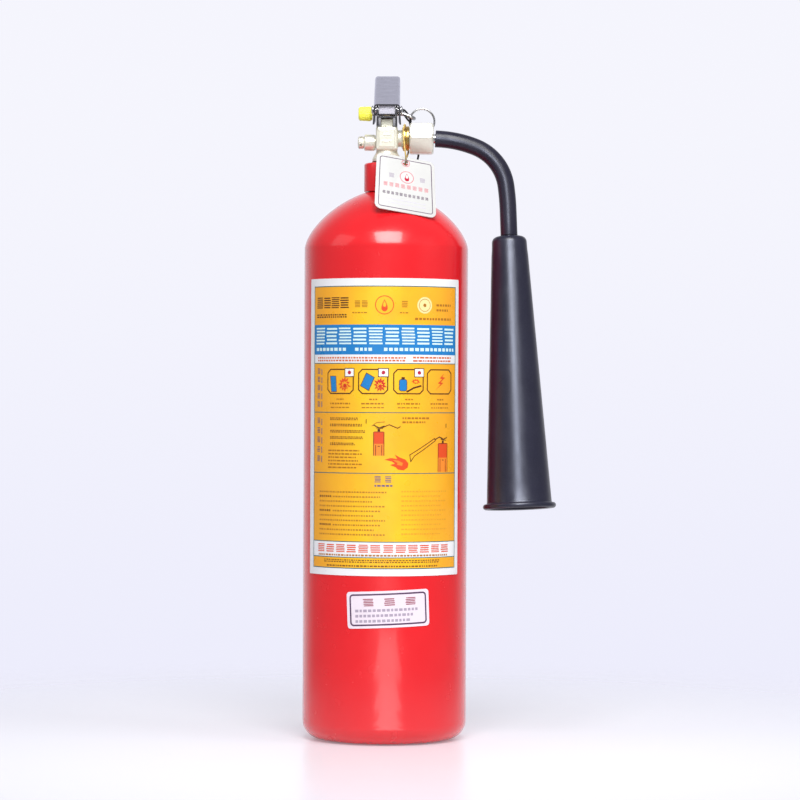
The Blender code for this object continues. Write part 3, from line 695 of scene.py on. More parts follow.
def make_valve_body():
    """Forged block with its tower, neck stub and outlet spigot, drilled as the CAD one is."""
    stub = NECK_BORE - GAP
    profile = [
        (0, BLOCK_Z + 4), (8.7, BLOCK_Z + 4), (8.7, BLOCK_Z - 1), (9.4, BLOCK_Z - 2.6),
        (10.4, BLOCK_Z - 4.0), (11.8, FLANGE_Z + 2.2), (11.8, FLANGE_Z), (stub, FLANGE_Z),
        (stub, 444), (stub - 1, 443), (0, 443),
    ]
    body = lathe("valve_forging", profile, None, segments=72)
    height = BLOCK_TOP - BLOCK_Z
    sunk_foot = BLOCK_TOP - 4
    forms = [
        block((2 * BLOCK_HALF, BLOCK_DEPTH, height), 1.6, at(0, 0, BLOCK_Z + height / 2)),
        block((10.0, 16.0, TOWER_TOP - sunk_foot), 0.9, at(0, 0, (TOWER_TOP + sunk_foot) / 2)),
        lathe("spigot", [
            (0, 26), (8.0, 26), (8.6, 25.2), (8.6, 12.6), (6.8, 12.0), (6.8, 6), (0, 6),
        ], None, at(0, 0, OUTLET_Z) @ ALONG_X, 72),
    ]
    for side in (-1, 1):
        for size, bevel, steps, up, out in (  # a raised panel with two bars on it
            ((13.2, 1.6, 15.0), 0.7, 3, 9.6, -0.35), ((6.0, 0.7, 0.9), 0.28, 2, 12.4, 0.4),
            ((7.6, 0.7, 0.9), 0.28, 2, 7.0, 0.4),
        ):
            spot = at(0, side * (BLOCK_DEPTH / 2 + out), BLOCK_Z + up)
            forms.append(block(size, bevel, spot, steps))
    body = combine(body, forms, "UNION")
    bores = [
        drill(4.3, SEAT_Z + 2, 515), drill(2.6, SEAT_Z - 3, SEAT_Z + 4), drill(4.6, 430, SEAT_Z),
        drill(3.0, 1, 40, at(0, 0, OUTLET_Z) @ ALONG_X),
        drill(4.3, 5.8, 20, at(0, 0, PLUG_Z) @ ALONG_MINUS_X),
        drill(0.9, 430, PLUG_Z, at(-6.9, 0, 0)),
    ]
    body = skin(combine(body, bores), 0.26, 3, "nickel_plate")
    ready(body, ROOT, "nickel_plate", "valve_body")


def make_burst_plug():
    """Safety plug: round body, hexagonal nose with cross holes that vent both ways."""
    base = BLOCK_HALF + GAP
    profile = [
        (radius, base + up) for radius, up in (
            (0, 14.4), (3.6, 14.4), (5.1, 13.6), (5.1, 10.0), (4.4, 9.5), (5.9, 9.3), (6.6, 8.5),
            (6.6, 1.2), (6.1, 0.8), (6.1, 0), (4.0, 0),
        )
    ]
    profile += [(4.0, 6.6), (1.6, 6.6), (1.6, base + 7), (0, base + 7)]
    nose = hexagonal(10.2)

    def form(radius, height, angle):
        return soft_min(radius, nose(angle), 30) if height > base + 9.8 else radius

    place, profile = at(0, 0, PLUG_Z) @ ALONG_MINUS_X, soften(profile, 0.35)
    plug = lathe("burst_plug_body", profile, "machined_nickel", place, 120, form)
    middle = at(-(base + 11.9), 0, PLUG_Z)
    holes = [
        drill(1.15, -8, 8, middle @ Matrix.Rotation(radians(turn), 4, "X"), 24)
        for turn in (-62, 28)
    ]
    ready(shade(combine(plug, holes), 30), ROOT, "nickel_plate", "burst_plug")


def make_outlet():
    """Grooved lock ring on the spigot and the chamfered union nut."""
    place = at(0, 0, OUTLET_Z) @ ALONG_X
    bore, tube_hole, shelf = 8.9, TUBE_R + 0.4, 31.0
    lock = [
        (9.4, 18.2), (10.2, 17.7), (10.2, 16.2), (9.5, 15.8), (9.5, 15.4), (10.2, 15.0),
        (10.2, 13.4), (9.4, 12.9), (bore, 12.9), (bore, 18.2),
    ]
    ring = lathe("lock_ring_turned", soften(lock, 0.25, True), "brass", place, 120)
    ready(ring, ROOT, "brass", "lock_ring")

    corner = NUT_FLATS / 2 / cos(pi / 6)
    hexagon = hexagonal(NUT_FLATS, pi / 2)
    rows = 26
    outer = [(corner, NUT_END + (NUT_X - NUT_END) * i / rows) for i in range(rows + 1)]

    def form(radius, height, angle):
        if radius < corner - 0.01:
            return radius
        end_cone = corner - 2.7 + (NUT_END - height) * 1.5
        start_cone = corner - 2.0 + (height - NUT_X) * 1.5
        return soft_min(hexagon(angle), min(corner + 0.6, end_cone, start_cone), 90)

    profile = [(tube_hole, NUT_END), (corner - 3.4, NUT_END)] + outer
    profile += [(9.7, NUT_X), (bore, NUT_X + 0.8), (bore, shelf), (tube_hole, shelf)]
    nut = lathe("union_nut_forged", profile, "machined_nickel", place, 240, form, 40)
    ready(nut, ROOT, "nickel_plate", "union_nut")


# ---------------------------------------------------------------- discharge side


def tube_route(first, last_straight):
    """The tube's centre line in XZ, about the outlet's centre, and its last heading."""
    bends = ((92.0, 22.0, 20), (40.0, 60.0, 40), (200.0, 5.7, 8))  # radius, degrees, steps
    x, z, heading = NUT_END, 0.0, 0.0
    points = [(first, 0.0)]
    if first < x:
        points.append((x, z))
    for radius, sweep, steps in bends:
        for _ in range(steps):
            turn = radians(sweep / steps)
            chord = 2 * radius * sin(turn / 2)
            x += chord * cos(heading + turn / 2)
            z -= chord * sin(heading + turn / 2)
            heading += turn
            points.append((x, z))
    for length in (10.0, 11.0, last_straight):
        if length:
            x += length * cos(heading)
            z -= length * sin(heading)
            points.append((x, z))
    return points, heading


def hollow_bar(name, points, outer, wall, finish, place, sides):
    """A tube along the route, open at both ends, with rounded rims."""
    route = [(x, 0, z) for x, z in points]
    bar = wire(name, route, outer, None, sides, filled=False, place=place)
    bar = settle(round_edges(settle(thicken(bar, wall, -1)), min(0.45, wall * 0.4)))
    return paint(shade(bar, 45), finish)


def make_discharge():
    """Bent tube, its rubber sleeve, and the horn with the nozzle inside."""
    swivel = at(0, 0, OUTLET_Z) @ Matrix.Rotation(-SWIVEL_TILT, 4, "X")
    inside_nut, inside_horn = 28.1, 14.0
    tube, heading = tube_route(inside_nut, inside_horn)
    steel_tube = hollow_bar("bent_tube", tube, TUBE_R, 1.0, "steel", swivel, 10)
    ready(steel_tube, "discharge", "steel", "discharge_tube")
    start_x = cad_box("tube_sleeve")[0].x
    full, _ = tube_route(start_x, 0)
    sleeve_points = [point for point in full if point[0] >= start_x]
    sleeve = hollow_bar(
        "tube_sleeve_rubber", sleeve_points, SLEEVE_R, SLEEVE_R - TUBE_R - GAP,
        "sleeve_rubber", swivel, 16,
    )
    ready(sleeve, "discharge", "sleeve_rubber", "tube_sleeve")
    top = sleeve_points[-1]
    start = (top[0] + GAP * cos(heading), 0, top[1] - GAP * sin(heading))
    place = swivel @ at(*start) @ Matrix.Rotation(pi / 2 + heading, 4, "Y")
    make_horn(place)
    nozzle = [
        (8.0, 27.5), (9.7, 26), (9.7, 5.3), (TUBE_R + GAP, 5.3), (TUBE_R + GAP, 14.6),
        (1.5, 14.6), (1.5, 22), (4.0, 27.5),
    ]
    jet = lathe("jet_nozzle", soften(nozzle, 0.3, True), "brass", place, 72)
    ready(jet, "discharge", "brass", "horn_nozzle")


def make_horn(place):
    """Moulded cone with a rolled bead at the mouth and a faint parting line down each side. Its own
    Z runs down the axis, so the profile starts at the mouth."""
    end = HORN_LENGTH
    bead_z = end - HORN_BEAD_R
    bead = arc((HORN_MOUTH_R + 1.1, bead_z), HORN_BEAD_R, 80, -100, 14)
    shoulder = arc((9.2, 5.5), 5.0, 0, -90, 8)
    root = [(HORN_MOUTH_R + 0.25, bead_z - 2.5), (HORN_MOUTH_R, bead_z - 3.4)]
    wall = [
        (HORN_MOUTH_R + (14.8 - HORN_MOUTH_R) * i / 14, bead_z - 3.4 + (19.4 - bead_z) * i / 14)
        for i in range(1, 15)
    ]
    neck = [(14.72, 15.2), (14.45, 11.5)]
    inner = [
        (TUBE_R + 0.4, 0.5), (TUBE_R + 0.4, 5), (10, 5), (10, 28), (12.6, 32), (24.0, end - 7),
        (24.9, end - 0.6),
    ]

    def form(radius, height, angle):
        if radius < 13 or not 12 < height < bead_z - 3:
            return radius
        off = abs(sin(angle)) * radius
        return radius + (0.12 if off < 0.35 else 0.0)

    profile = bead + root + wall + neck + shoulder + inner
    horn = lathe("horn_moulding", profile, "horn_plastic", place, 224, form, 38)
    ready(horn, "discharge", "horn_plastic", "horn")


# ---------------------------------------------------------------- grips


def pressed(sheet, holes):
    """A pressing with its holes cut and its edges rounded, coated black."""
    return paint(shade(settle(round_edges(combine(sheet, holes), 0.3)), 35), "black_steel")


def cross_hole(spot, radius, segments=48):
    return drill(radius, -20, 20, at(*spot) @ ALONG_X, segments)


def make_carry_handle():
    """Lower grip: pressed channel whose ears carry the pivot and the pin."""
    deep = PLATE_Z - BLOCK_TOP - GAP
    stations = [
        (-14.3, PLATE_Z, deep), (14.0, PLATE_Z, deep), (24.0, PLATE_Z, 9.0), (60.0, PLATE_Z, 9.5),
        (86.0, PLATE_Z, 9.0), (94.0, PLATE_Z - 1.5, 7.6), (99.0, PLATE_Z - 5.0, 4.2),
    ]
    handle = channel("carry_handle_pressing", stations, HANDLE_HALF, 2.0, SHEET)
    ear = [(PIVOT.y - 4.2, 500.0), (21.0, 500.0)]
    ear += arc((17.2, 510.2), 3.8, 0, 90, 12)
    ear += arc((PIVOT.y, PIVOT.z), 4.3, 75, 180, 14)
    ears = [
        flat_plate(ear, SHEET - 0.1, at(side * (HANDLE_HALF - SHEET / 2), 0, 0) @ IN_YZ)
        for side in (-1, 1)
    ]
    holes = [
        cross_hole(PIVOT, PIVOT_R + GAP), cross_hole(PIN, PIN_R + 0.4, 32), drill(4.3, 495, 510),
    ]
    handle = pressed(combine(handle, ears, "UNION"), holes)
    ready(handle, ROOT, "black_steel", "carry_handle")


def lever_top(y):
    """Height of the upper grip's straight back."""
    return LEVER_FRONT_Z + (y - LEVER_FRONT) * tan(LEVER_SLOPE)


def make_squeeze_lever():
    """Upper grip: deeper channel that straddles the ears, slotted for the pin."""
    rows = (
        (LEVER_FRONT, 0, 16.5), (2.0, 0, 19.0), (20.0, 0, 21.0), (34.0, 0, 14.0),
        (60.0, 0, 10.5), (93.0, 0, 9.5), (99.5, 0.6, 8.4), (GRIP_END, 2.8, 5.6),
    )
    stations = [(y, lever_top(y) - sunk, depth) for y, sunk, depth in rows]

    def splay(y):
        return 0.9 * max(0.0, min(1.0, (6 - y) / 18))

    lever = channel("squeeze_lever_pressing", stations, LEVER_HALF, 2.6, LEVER_SHEET, splay)
    radius = PIN_R + 0.7
    reach = (PIN.y - PIVOT.y) * sin(LEVER_STROKE)
    slot = arc((PIN.y - 0.3, PIN.z + reach), radius, 0, 180, 12)
    slot += arc((PIN.y, PIN.z), radius, 180, 360, 12)
    lever = pressed(lever, [cross_hole(PIVOT, PIVOT_R + GAP), flat_plate(slot, 40, IN_YZ)])
    ready(lever, "lever", "black_steel", "squeeze_lever")


def make_pivot():
    """Rivet through lever and ears, with its bush, and the cap that the lever pushes."""
    head_in = LEVER_HALF + 0.6
    head_out = head_in + 1.6
    half = [(0, head_out), (1.6, head_out), (2.9, head_out - 0.35), (3.6, head_out - 1.1)]
    half += [(3.6, head_in), (PIVOT_R, head_in)]
    profile = half + [(radius, -height) for radius, height in half[::-1]]
    rivet = lathe("pivot_rivet", soften(profile, 0.3), "steel", at(*PIVOT) @ ALONG_X, 48)
    ready(rivet, ROOT, "steel", "lever_pivot")
    reach = HANDLE_HALF - SHEET - GAP
    bush = block((2 * reach, 7.2, 7.2), 0.7, at(*PIVOT))
    bush = shade(combine(bush, [cross_hole(PIVOT, PIVOT_R + GAP)]), 30)
    bush.name = "pivot_bush_block"
    ready(paint(bush, "zinc_plate"), ROOT, "steel", "pivot_bush")
    cap = [
        (radius, STEM_TOP - down) for radius, down in (
            (0, 0), (1.2, 0.05), (2.2, 0.4), (3.0, 1.2),
            (3.0, 5.0), (1.9, 5.0), (1.9, 2.7), (0, 2.7),
        )
    ]
    button = lathe("stem_button", soften(cap, 0.2), "steel", segments=48)
    ready(button, "stem", "steel", "stem_cap")


# ---------------------------------------------------------------- safety pin


def in_xz(angle):
    return Vector((cos(angle), 0, sin(angle)))


def eye_centre():
    """The middle of the pin's eye, and the direction in which the eye dips."""
    dip = in_xz(-EYE_DIP)
    return Vector((13.4, PIN.y, PIN.z)) + 6.0 * dip + EYE_R * PLUS_Y, dip


def ring_centre():
    """The middle of the pull ring, which hangs in the eye."""
    return eye_centre()[0] - RING_MAJOR * in_xz(radians(160))


def make_safety_pin():
    centre, dip = eye_centre()
    points = [Vector((x, PIN.y, PIN.z)) for x in (PIN_TIP, 0, 12.0)]
    points.append(Vector((13.8, PIN.y, PIN.z - 0.15)))
    sweep, steps = 285, 14
    for i in range(steps + 1):
        angle = radians(-90 + sweep * i / steps)
        points.append(centre + EYE_R * (cos(angle) * dip + sin(angle) * PLUS_Y))
    pin = wire("pin_wire", curve_through(points, 0.6), PIN_R, "steel", 8)
    ready(pin, "pin", "steel", "safety_pin")


def make_pull_ring():
    """Split ring: two turns of spring wire side by side, sprung slightly apart."""
    centre = ring_centre()
    turns, steps = 2, 160
    points = []
    for i in range(steps + 1):
        share = i / steps
        angle = 2 * pi * turns * share + radians(250)
        radius = RING_MAJOR + 0.45 * cos(pi * share)
        points.append(centre + radius * in_xz(angle) + 1.1 * (share - 0.5) * PLUS_Y)
    ring = wire("split_ring", points, 0.52, "steel", 5)
    ready(ring, "ring", "steel", "pull_ring")


def make_seal_tie():
    """Nylon tie round the ring's lower side and its tail."""
    out = in_xz(radians(-110))
    hold = ring_centre() + RING_MAJOR * out
    loop_r, tie_r, steps = RING_WIRE + 1.2, 0.85, 16
    points = []
    for i in range(steps + 1):
        turn = radians(62 + (360 - 62) * i / steps)
        points.append(hold + loop_r * (cos(turn) * out + sin(turn) * PLUS_Y))
    foot = points[-1]
    points += [foot + Vector((x, 0, z)) for x, z in ((1.2, -7), (1.8, -14), (0.8, -20.4))]
    tie = wire("nylon_tie", curve_through(points, 0.5), tie_r, "black_nylon", 5)
    ready(tie, "ring", "black_nylon", "seal_tie")


def make_tie_loop():
    """A loose loop of the seal's nylon through the pin's eye, up to the lever's corner."""
    top, foot = Vector((13.3, PIN.y + 1.4, 513.2)), Vector((19.4, PIN.y + 1.6, 503.0))
    middle, along = (top + foot) / 2, (foot - top) / 2
    across = 1.5 * along.cross(PLUS_Y).normalized() + 2.3 * PLUS_Y
    points = []
    for i in range(28):
        turn = 2 * pi * i / 28
        bow = 1.0 - 0.25 * sin(turn) ** 2
        points.append(middle + along * cos(turn) * bow + across * sin(turn))
    loop = wire("tie_loop", points, 0.75, "black_nylon", 4, cyclic=True)
    ready(loop, "pin", "black_nylon")


def make_seal_cap():
    """Tamper cap on the pin's tip, with moulded ribs for the thumb."""
    near, far = 12.0, 23.4
    profile = [
        (0, far), (4.4, far), (5.5, far - 0.9), (5.9, near + 2.2), (5.9, near + 1.6),
        (5.3, near + 1.2), (5.2, near), (PIN_R + GAP, near), (PIN_R + GAP, -PIN_TIP + GAP),
        (0, -PIN_TIP + GAP),
    ]

    def form(radius, height, angle):
        ribbed = radius > 5.3 and height < far - 1.2
        return radius + (0.10 * cos(30 * angle) if ribbed else 0)

    place, profile = at(*PIN) @ ALONG_MINUS_X, soften(profile, 0.35)
    cap = lathe("seal_cap_moulding", profile, "yellow_plastic", place, 240, form, 40)
    ready(cap, "cap", "yellow_plastic", "seal_cap")


# ---------------------------------------------------------------- drawing on film and card


def rectangle(left, low, right, high):
    return [(left, low), (right, low), (right, high), (left, high)]


def quarter_arcs(centres, radius, steps):
    """An outline with a quarter circle about each centre, the upper right one first."""
    outline = []
    for i, centre in enumerate(centres):
        outline += arc(centre, radius, 90 * i, 90 * i + 90, steps)
    return outline


def rounded_rectangle(left, low, right, high, radius, steps=4):
    inner = rectangle(left + radius, low + radius, right - radius, high - radius)
    return quarter_arcs(inner[2:] + inner[:2], radius, steps)


def shuffled(seed):
    """The next number of a plain random row."""
    return (seed * 16807 + 11) % 2147483647


class Artwork:
    """Flat shapes in millimetres. Bars and tiles stand for all wording.

    An ink is named by its layer and its colour, such as 3:brown."""

    def __init__(self):
        self.shapes = {}

    def area(self, ink, points):
        self.shapes.setdefault(ink, []).append([Vector((*point, 0)) for point in points])

    def bar(self, ink, *sides):
        self.area(ink, rectangle(*sides))

    def stroke(self, ink, points, width, closed=False):
        """A line of even width with mitred joints."""
        points = [Vector(point) for point in points]
        count = len(points)
        sides = []
        for i, point in enumerate(points):
            before = points[i - 1] if i or closed else None
            after = points[(i + 1) % count] if i < count - 1 or closed else None
            along = Vector((0, 0))
            for near, far in ((before, point), (point, after)):
                if near is not None and far is not None and (far - near).length > 1e-6:
                    along += (far - near).normalized()
            along.normalize()
            normal = Vector((-along.y, along.x))
            step = after - point if after is not None else point - before
            lean = max(0.35, abs(step.normalized().dot(along))) if step.length > 1e-6 else 1.0
            sides.append((point + normal * width / 2 / lean, point - normal * width / 2 / lean))
        for near, far in zip(sides, sides[1:] + (sides[:1] if closed else [])):
            self.area(ink, [near[1], far[1], far[0], near[0]])

    def framed(self, level, ink, points, width):
        """A coloured shape, outlined in brown one layer up."""
        self.area(f"{level}:{ink}", points)
        self.stroke(f"{level + 1}:brown", points, width, True)

    def disc(self, ink, centre, radius, steps=28):
        self.area(ink, arc(centre, radius, 0, 360 - 360 / steps, steps - 1))

    def ring(self, ink, centre, radius, width):
        self.stroke(ink, arc(centre, radius, 0, 350, 35), width, True)

    def words(self, ink, *rows):
        """Rows of dashes of uneven length, as wording looks from far away. A row is left, right,
        low, height, seed and the longest dash."""
        for start, right, low, height, seed, longest in rows:
            while start < right - height * 0.6:
                seed = shuffled(seed)
                length = height * 0.8 + (longest - height * 0.8) * (seed % 1000) / 1000
                end = min(start + length, right)
                self.bar(ink, start, low, end, low + height)
                start = end + max(0.75, height * 0.5)

    def tiles(self, ink, count, left, low, width, height, seed, pitch=0.0, seeds=1):
        """Hatched blocks that stand for signs: level bars of nearly the same length."""
        for i in range(count):
            step = seed + seeds * i
            start, rows = left + pitch * i, (5 if height > 7 else 4) + step % 2
            rise = height / rows
            for row in range(rows):
                step = shuffled(step)
                first = start + width * ((step // 5) % 4) / 45
                last = start + width * (1 - ((step // 17) % 4) / 45)
                self.bar(ink, first, low + row * rise, last, low + (row + 0.52) * rise)

    def splash(self, ink, centre, radius, spikes, seed, squash=1.0):
        """A ragged star, for a fire seen as a splash of colour."""
        outline = []
        for i in range(2 * spikes):
            seed = shuffled(seed)
            reach = radius * ((0.78 + 0.3 * (seed % 100) / 100) if i % 2 else 0.55)
            angle = pi * i / spikes
            across, up = reach * cos(angle), reach * sin(angle) * squash
            outline.append((centre[0] + across, centre[1] + up))
        self.area(ink, outline)

    def flame(self, ink, core, centre, height):
        """A generic flame: a pointed drop with a smaller one inside."""
        for colour, size in ((ink, 1.0), (core, 0.5)):
            outline = []
            for i in range(20):
                t = 2 * pi * i / 20
                narrow = 0.36 * height * size * sin(t) * sin(t / 2) ** 1.5
                up = -0.5 * height * size * cos(t) * 0.98 + (1 - size) * -0.22 * height
                outline.append((centre[0] + narrow, centre[1] - up))
            self.area(colour, outline)


def lay_ink(name, polygons, level, finish, sheet):
    """One ink of an artwork, or the film under it, as a thin closed sheet on its surface."""
    to_place, grid, body, slot = sheet
    shape = bmesh.new()
    for polygon in polygons:
        face = shape.faces.new([shape.verts.new(point) for point in polygon])
        face.normal_update()
        if face.normal.z < 0:
            face.normal_flip()
    bmesh.ops.remove_doubles(shape, verts=shape.verts, dist=0.004)
    if grid:
        left, right = grid
        for i in range(1, round((right - left) / GRID_SPACING)):
            bmesh.ops.bisect_plane(
                shape, geom=shape.verts[:] + shape.edges[:] + shape.faces[:], dist=1e-5,
                plane_co=(left + i * GRID_SPACING, 0, 0), plane_no=(1, 0, 0),
            )
    bmesh.ops.triangulate(shape, faces=[face for face in shape.faces if len(face.verts) > 4])
    for vert in shape.verts:
        vert.co = to_place(vert.co.x, vert.co.y, level) * MM
    shape.normal_update()
    made = thicken(from_bmesh(name, shape, finish, sharp=60), INK_THICK if level else FILM, 1)
    return ready(shade(settle(made), 60), body, slot)


def print_artwork(owner, art, sheet):
    """Lays each ink of each layer. The sheet is (to_place, grid, body, slot). The first says where
    a point of the artwork lies. The grid is (left, right) of what has to bend, or None."""
    for key, polygons in sorted(art.shapes.items()):
        level, ink = key.split(":")
        lay_ink(f"{owner}_{ink}_{level}", polygons, int(level), "ink_" + ink, sheet)


def lay_film(name, art, outline, to_place, grid, node):
    """A curved film on the cylinder, which stands for the node, and its printing."""
    sheet = (to_place, grid, ROOT, name + "_film")
    outline = [Vector((*point, 0)) for point in outline]
    film = lay_ink(name + "_film", [outline], 0, name + "_white", sheet)
    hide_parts(node)
    print_artwork(name, art, sheet)


def on_cylinder(angle, z, level):
    """A point of the film, level 0, or of an ink over it."""
    radius = BODY_R + FILM_LIFT + (FILM if level else 0) + INK_LIFT * level
    return Vector((radius * sin(angle), -radius * cos(angle), z))


# ---------------------------------------------------------------- front label


def draw_header(art):
    """Orange head of the label: size block, a generic mark, a plain seal and small print."""
    art.tiles("3:brown", 4, 10.4, 212.8, 7.9, 9.4, 71, pitch=8.7)
    for low in (206.9, 205.2):
        art.words("3:brown", (10.6, 43.5, low, 1.1, int(low * 10), 2.4))
    for left, seed in ((49.5, 3), (55.5, 9), (87.5, 4)):
        art.tiles("3:ochre", 1, left, 213.4, 4.8, 5.8, seed)
    art.words("3:ochre", (47.5, 60.5, 208.6, 0.9, 8, 3), (86.0, 93.0, 208.6, 0.9, 8, 3))
    mark, seal = (73.8, 215.2), (107.0, 215.2)
    art.ring("3:scarlet", mark, 7.2, 0.7)
    art.flame("3:scarlet", "4:orange", (mark[0], mark[1] - 0.2), 10.0)
    art.disc("3:cream", seal, 6.6)
    art.ring("4:ochre", seal, 4.9, 0.4)
    art.disc("4:ochre", seal, 1.4, 16)
    art.words(
        "3:ochre", (118.0, 134.0, 214.6, 1.7, 21, 2.6), (118.0, 130.5, 210.6, 1.7, 33, 2.6),
        (98.5, 134.0, 203.4, 1.8, 47, 2.8),
    )


def draw_title(art):
    """Blue band with ten blocks for the title, a row under it, and the fine print strip."""
    pitch = (139.2 - 9.0) / 10
    art.tiles("3:pale", 10, 9.2, 184.0, pitch - 1.6, 14.4, 17, pitch, seeds=13)
    art.words("3:pale", *(
        (left, right, 178.7, 2.5, seed, 3.4)
        for left, right, seed in ((10.0, 43.0, 6), (50.0, 66.0, 12), (73.5, 138.0, 23))
    ))
    art.words("3:rust", *((12.0, 91.0, low, 1.3, int(low * 9), 2.6) for low in (172.6, 170.4)))
    art.words("3:rust", *((97.0, 134.5, low, 1.3, int(low * 7), 4.0) for low in (172.9, 170.3)))


def draw_pictograms(art):
    """Four framed signs for what burns, each with a plain corner box, and captions."""
    low, high, cut = 144.8, 164.0, 3.0
    for i, (left, right) in enumerate(((24.2, 48.6), (53.2, 76.6), (81.4, 105.8), (109.6, 134.8))):
        art.stroke("3:brown", [
            (left + cut, low), (right - cut, low), (right, low + cut), (right, high - cut),
            (right - cut, high), (left + cut, high), (left, high - cut), (left, low + cut),
        ], 0.95, True)
        if i < 3:
            art.framed(4, "white", rectangle(right - 7.4, 158.2, right + 0.6, 164.8), 0.6)
            art.disc("5:crimson", (right - 3.4, 161.5), 1.5, 14)
        middle = (left + right) / 2
        art.words(
            "3:ochre", (middle - 3.0, middle + 3.5, 139.6, 1.2, 31 + i, 2.4),
            (middle - 9.5, middle + 9.5, 136.2, 1.2, 57 + i, 3.4),
            (middle - 9.0, middle + 9.0, 133.2, 0.9, 83 + i, 3.4),
        )
    art.framed(4, "blue", [(28.2, 146.2), (33.4, 146.2), (32.6, 158.6), (27.0, 158.6)], 0.4)
    art.framed(4, "blue", [(54.8, 151.0), (61.5, 147.2), (66.0, 157.6), (59.6, 161.2)], 0.5)
    art.framed(4, "blue", rounded_rectangle(85.8, 147.0, 92.0, 156.2, 1.8), 0.45)
    for splash in (
        ("4:scarlet", (40.6, 152.2), 6.0, 11, 7, 1.15), ("5:orange", (41.0, 151.6), 3.6, 9, 19),
        ("6:red", (41.2, 151.0), 2.5, 8, 23), ("4:red", (70.6, 151.8), 5.6, 11, 37, 1.15),
        ("5:orange", (70.4, 151.0), 3.0, 8, 41), ("6:red", (70.6, 150.6), 2.2, 7, 43),
        ("4:scarlet", (99.4, 154.6), 4.2, 9, 53, 0.6), ("5:orange", (99.4, 154.4), 2.2, 7, 59, 0.5),
    ):
        art.splash(*splash)
    art.bar("5:brown", 87.6, 156.2, 90.2, 158.0)
    art.stroke("4:brown", [(91.8, 146.2), (97.6, 149.4), (104.2, 151.2)], 1.3)
    art.area("4:scarlet", [  # the bolt
        (126.4, 161.0), (121.6, 157.2), (124.6, 156.6), (119.6, 153.2), (122.8, 152.6),
        (117.4, 147.8), (125.6, 153.6), (122.6, 154.0), (127.6, 157.8), (124.4, 158.2),
    ])
    for i in range(5):
        art.tiles("3:violet", 1, 11.4, 160.6 - 6.6 * i, 3.6, 4.6, 91 + i)
        art.bar("3:violet", 16.6, 159.4 - 6.4 * i, 17.5, 164.0 - 6.4 * i)


def small_extinguisher(art, left, low, height):
    """A cylinder with a red head and an outlined body, open at the foot, as a drawing."""
    right, top = left + height * 0.44, low + height
    middle, split, inset = (left + right) / 2, low + height * 0.50, height * 0.09
    art.bar("3:scarlet", left, split, right, top)
    art.bar("3:amber", left, low, right, split - 0.05)
    for x in (left, left + inset, right - inset, right):
        art.bar("4:maroon", x - 0.3, low, x + 0.3, top if x in (left, right) else split - 1.0)
    art.bar("4:maroon", left + 0.4, top - 0.25, right - 0.4, top + 0.3)
    art.bar("4:brown", middle - 0.9, split - 2.2, middle + 0.9, split - 1.6)
    art.bar("4:brown", middle - 1.0, top + 0.4, middle + 1.0, top + 2.4)
    lever = ((-4.2, 5.4), (0.4, 3.2), (4.6, 4.8))
    for width, points in ((0.8, lever), (0.5, ((-2.4, 3.2), (3.4, 2.6)))):
        art.stroke("4:brown", [(middle + x, top + y) for x, y in points], width)


def draw_instructions(art):
    """How it is used: steps on the left, drawings of aiming and squeezing on the right."""
    for i, right in enumerate((52.5, 56.0, 58.5, 57.0, 50.0)):
        low = 123.6 - 5.0 * i
        art.words(
            "3:umber", (27.0, right, low + 1.2, 0.9, 101 + 7 * i, 1.9),
            (27.0, right, low, 0.9, 131 + 7 * i, 1.9),
        )
    art.words("3:ochre", *(
        (25.0, 54.0 + 2.5 * sin(i * 2.1), 98.8 - 2.7 * i, 1.15, 151 + i, 4.0) for i in range(6)
    ))
    small_extinguisher(art, 65.6, 95.6, 18.8)
    art.stroke("4:brown", [(72.0, 117.6), (78.0, 120.2), (84.6, 117.4), (87.0, 118.8)], 0.7)
    art.stroke("4:ochre", [(64.0, 119.0), (68.0, 121.8), (74.5, 122.4)], 0.6)
    for low, right in ((124.6, 112.0), (121.4, 108.0)):
        art.words("3:ochre", (88.5, right, low, 1.5, int(low * 3), 3.2))
    art.bar("3:brown", 59.2, 121.0, 59.9, 124.4)
    art.bar("3:brown", 128.6, 117.8, 129.4, 121.0)
    art.area("3:scarlet", [  # the fire, then its bright core
        (93.6, 89.6), (91.0, 92.6), (86.6, 94.2), (82.4, 96.6), (84.6, 93.0),
        (79.2, 93.8), (74.2, 92.4), (80.2, 91.0), (82.6, 89.4), (78.6, 88.2),
        (83.4, 86.4), (85.0, 84.6), (89.6, 84.0), (93.0, 86.2),
    ])
    art.area("4:amber", [
        (89.0, 89.8), (85.6, 91.6), (80.6, 92.3), (84.8, 89.8), (84.2, 88.4), (88.4, 87.6),
    ])
    nozzle = [(95.5, 91.0), (98.6, 95.4), (117.6, 107.6), (116.6, 109.2), (94.6, 96.2)]
    art.stroke("4:brown", nozzle, 0.6, True)
    art.stroke("4:brown", [(117.2, 108.4), (121.5, 110.4), (125.4, 109.0)], 0.8)
    small_extinguisher(art, 120.4, 82.6, 22.6)
    for i in range(5):
        art.tiles("3:violet", 1, 11.4, 121.0 - 7.6 * i, 3.8, 4.8, 191 + i)
        art.bar("3:violet", 16.8, 119.4 - 7.4 * i, 17.7, 124.4 - 7.4 * i)


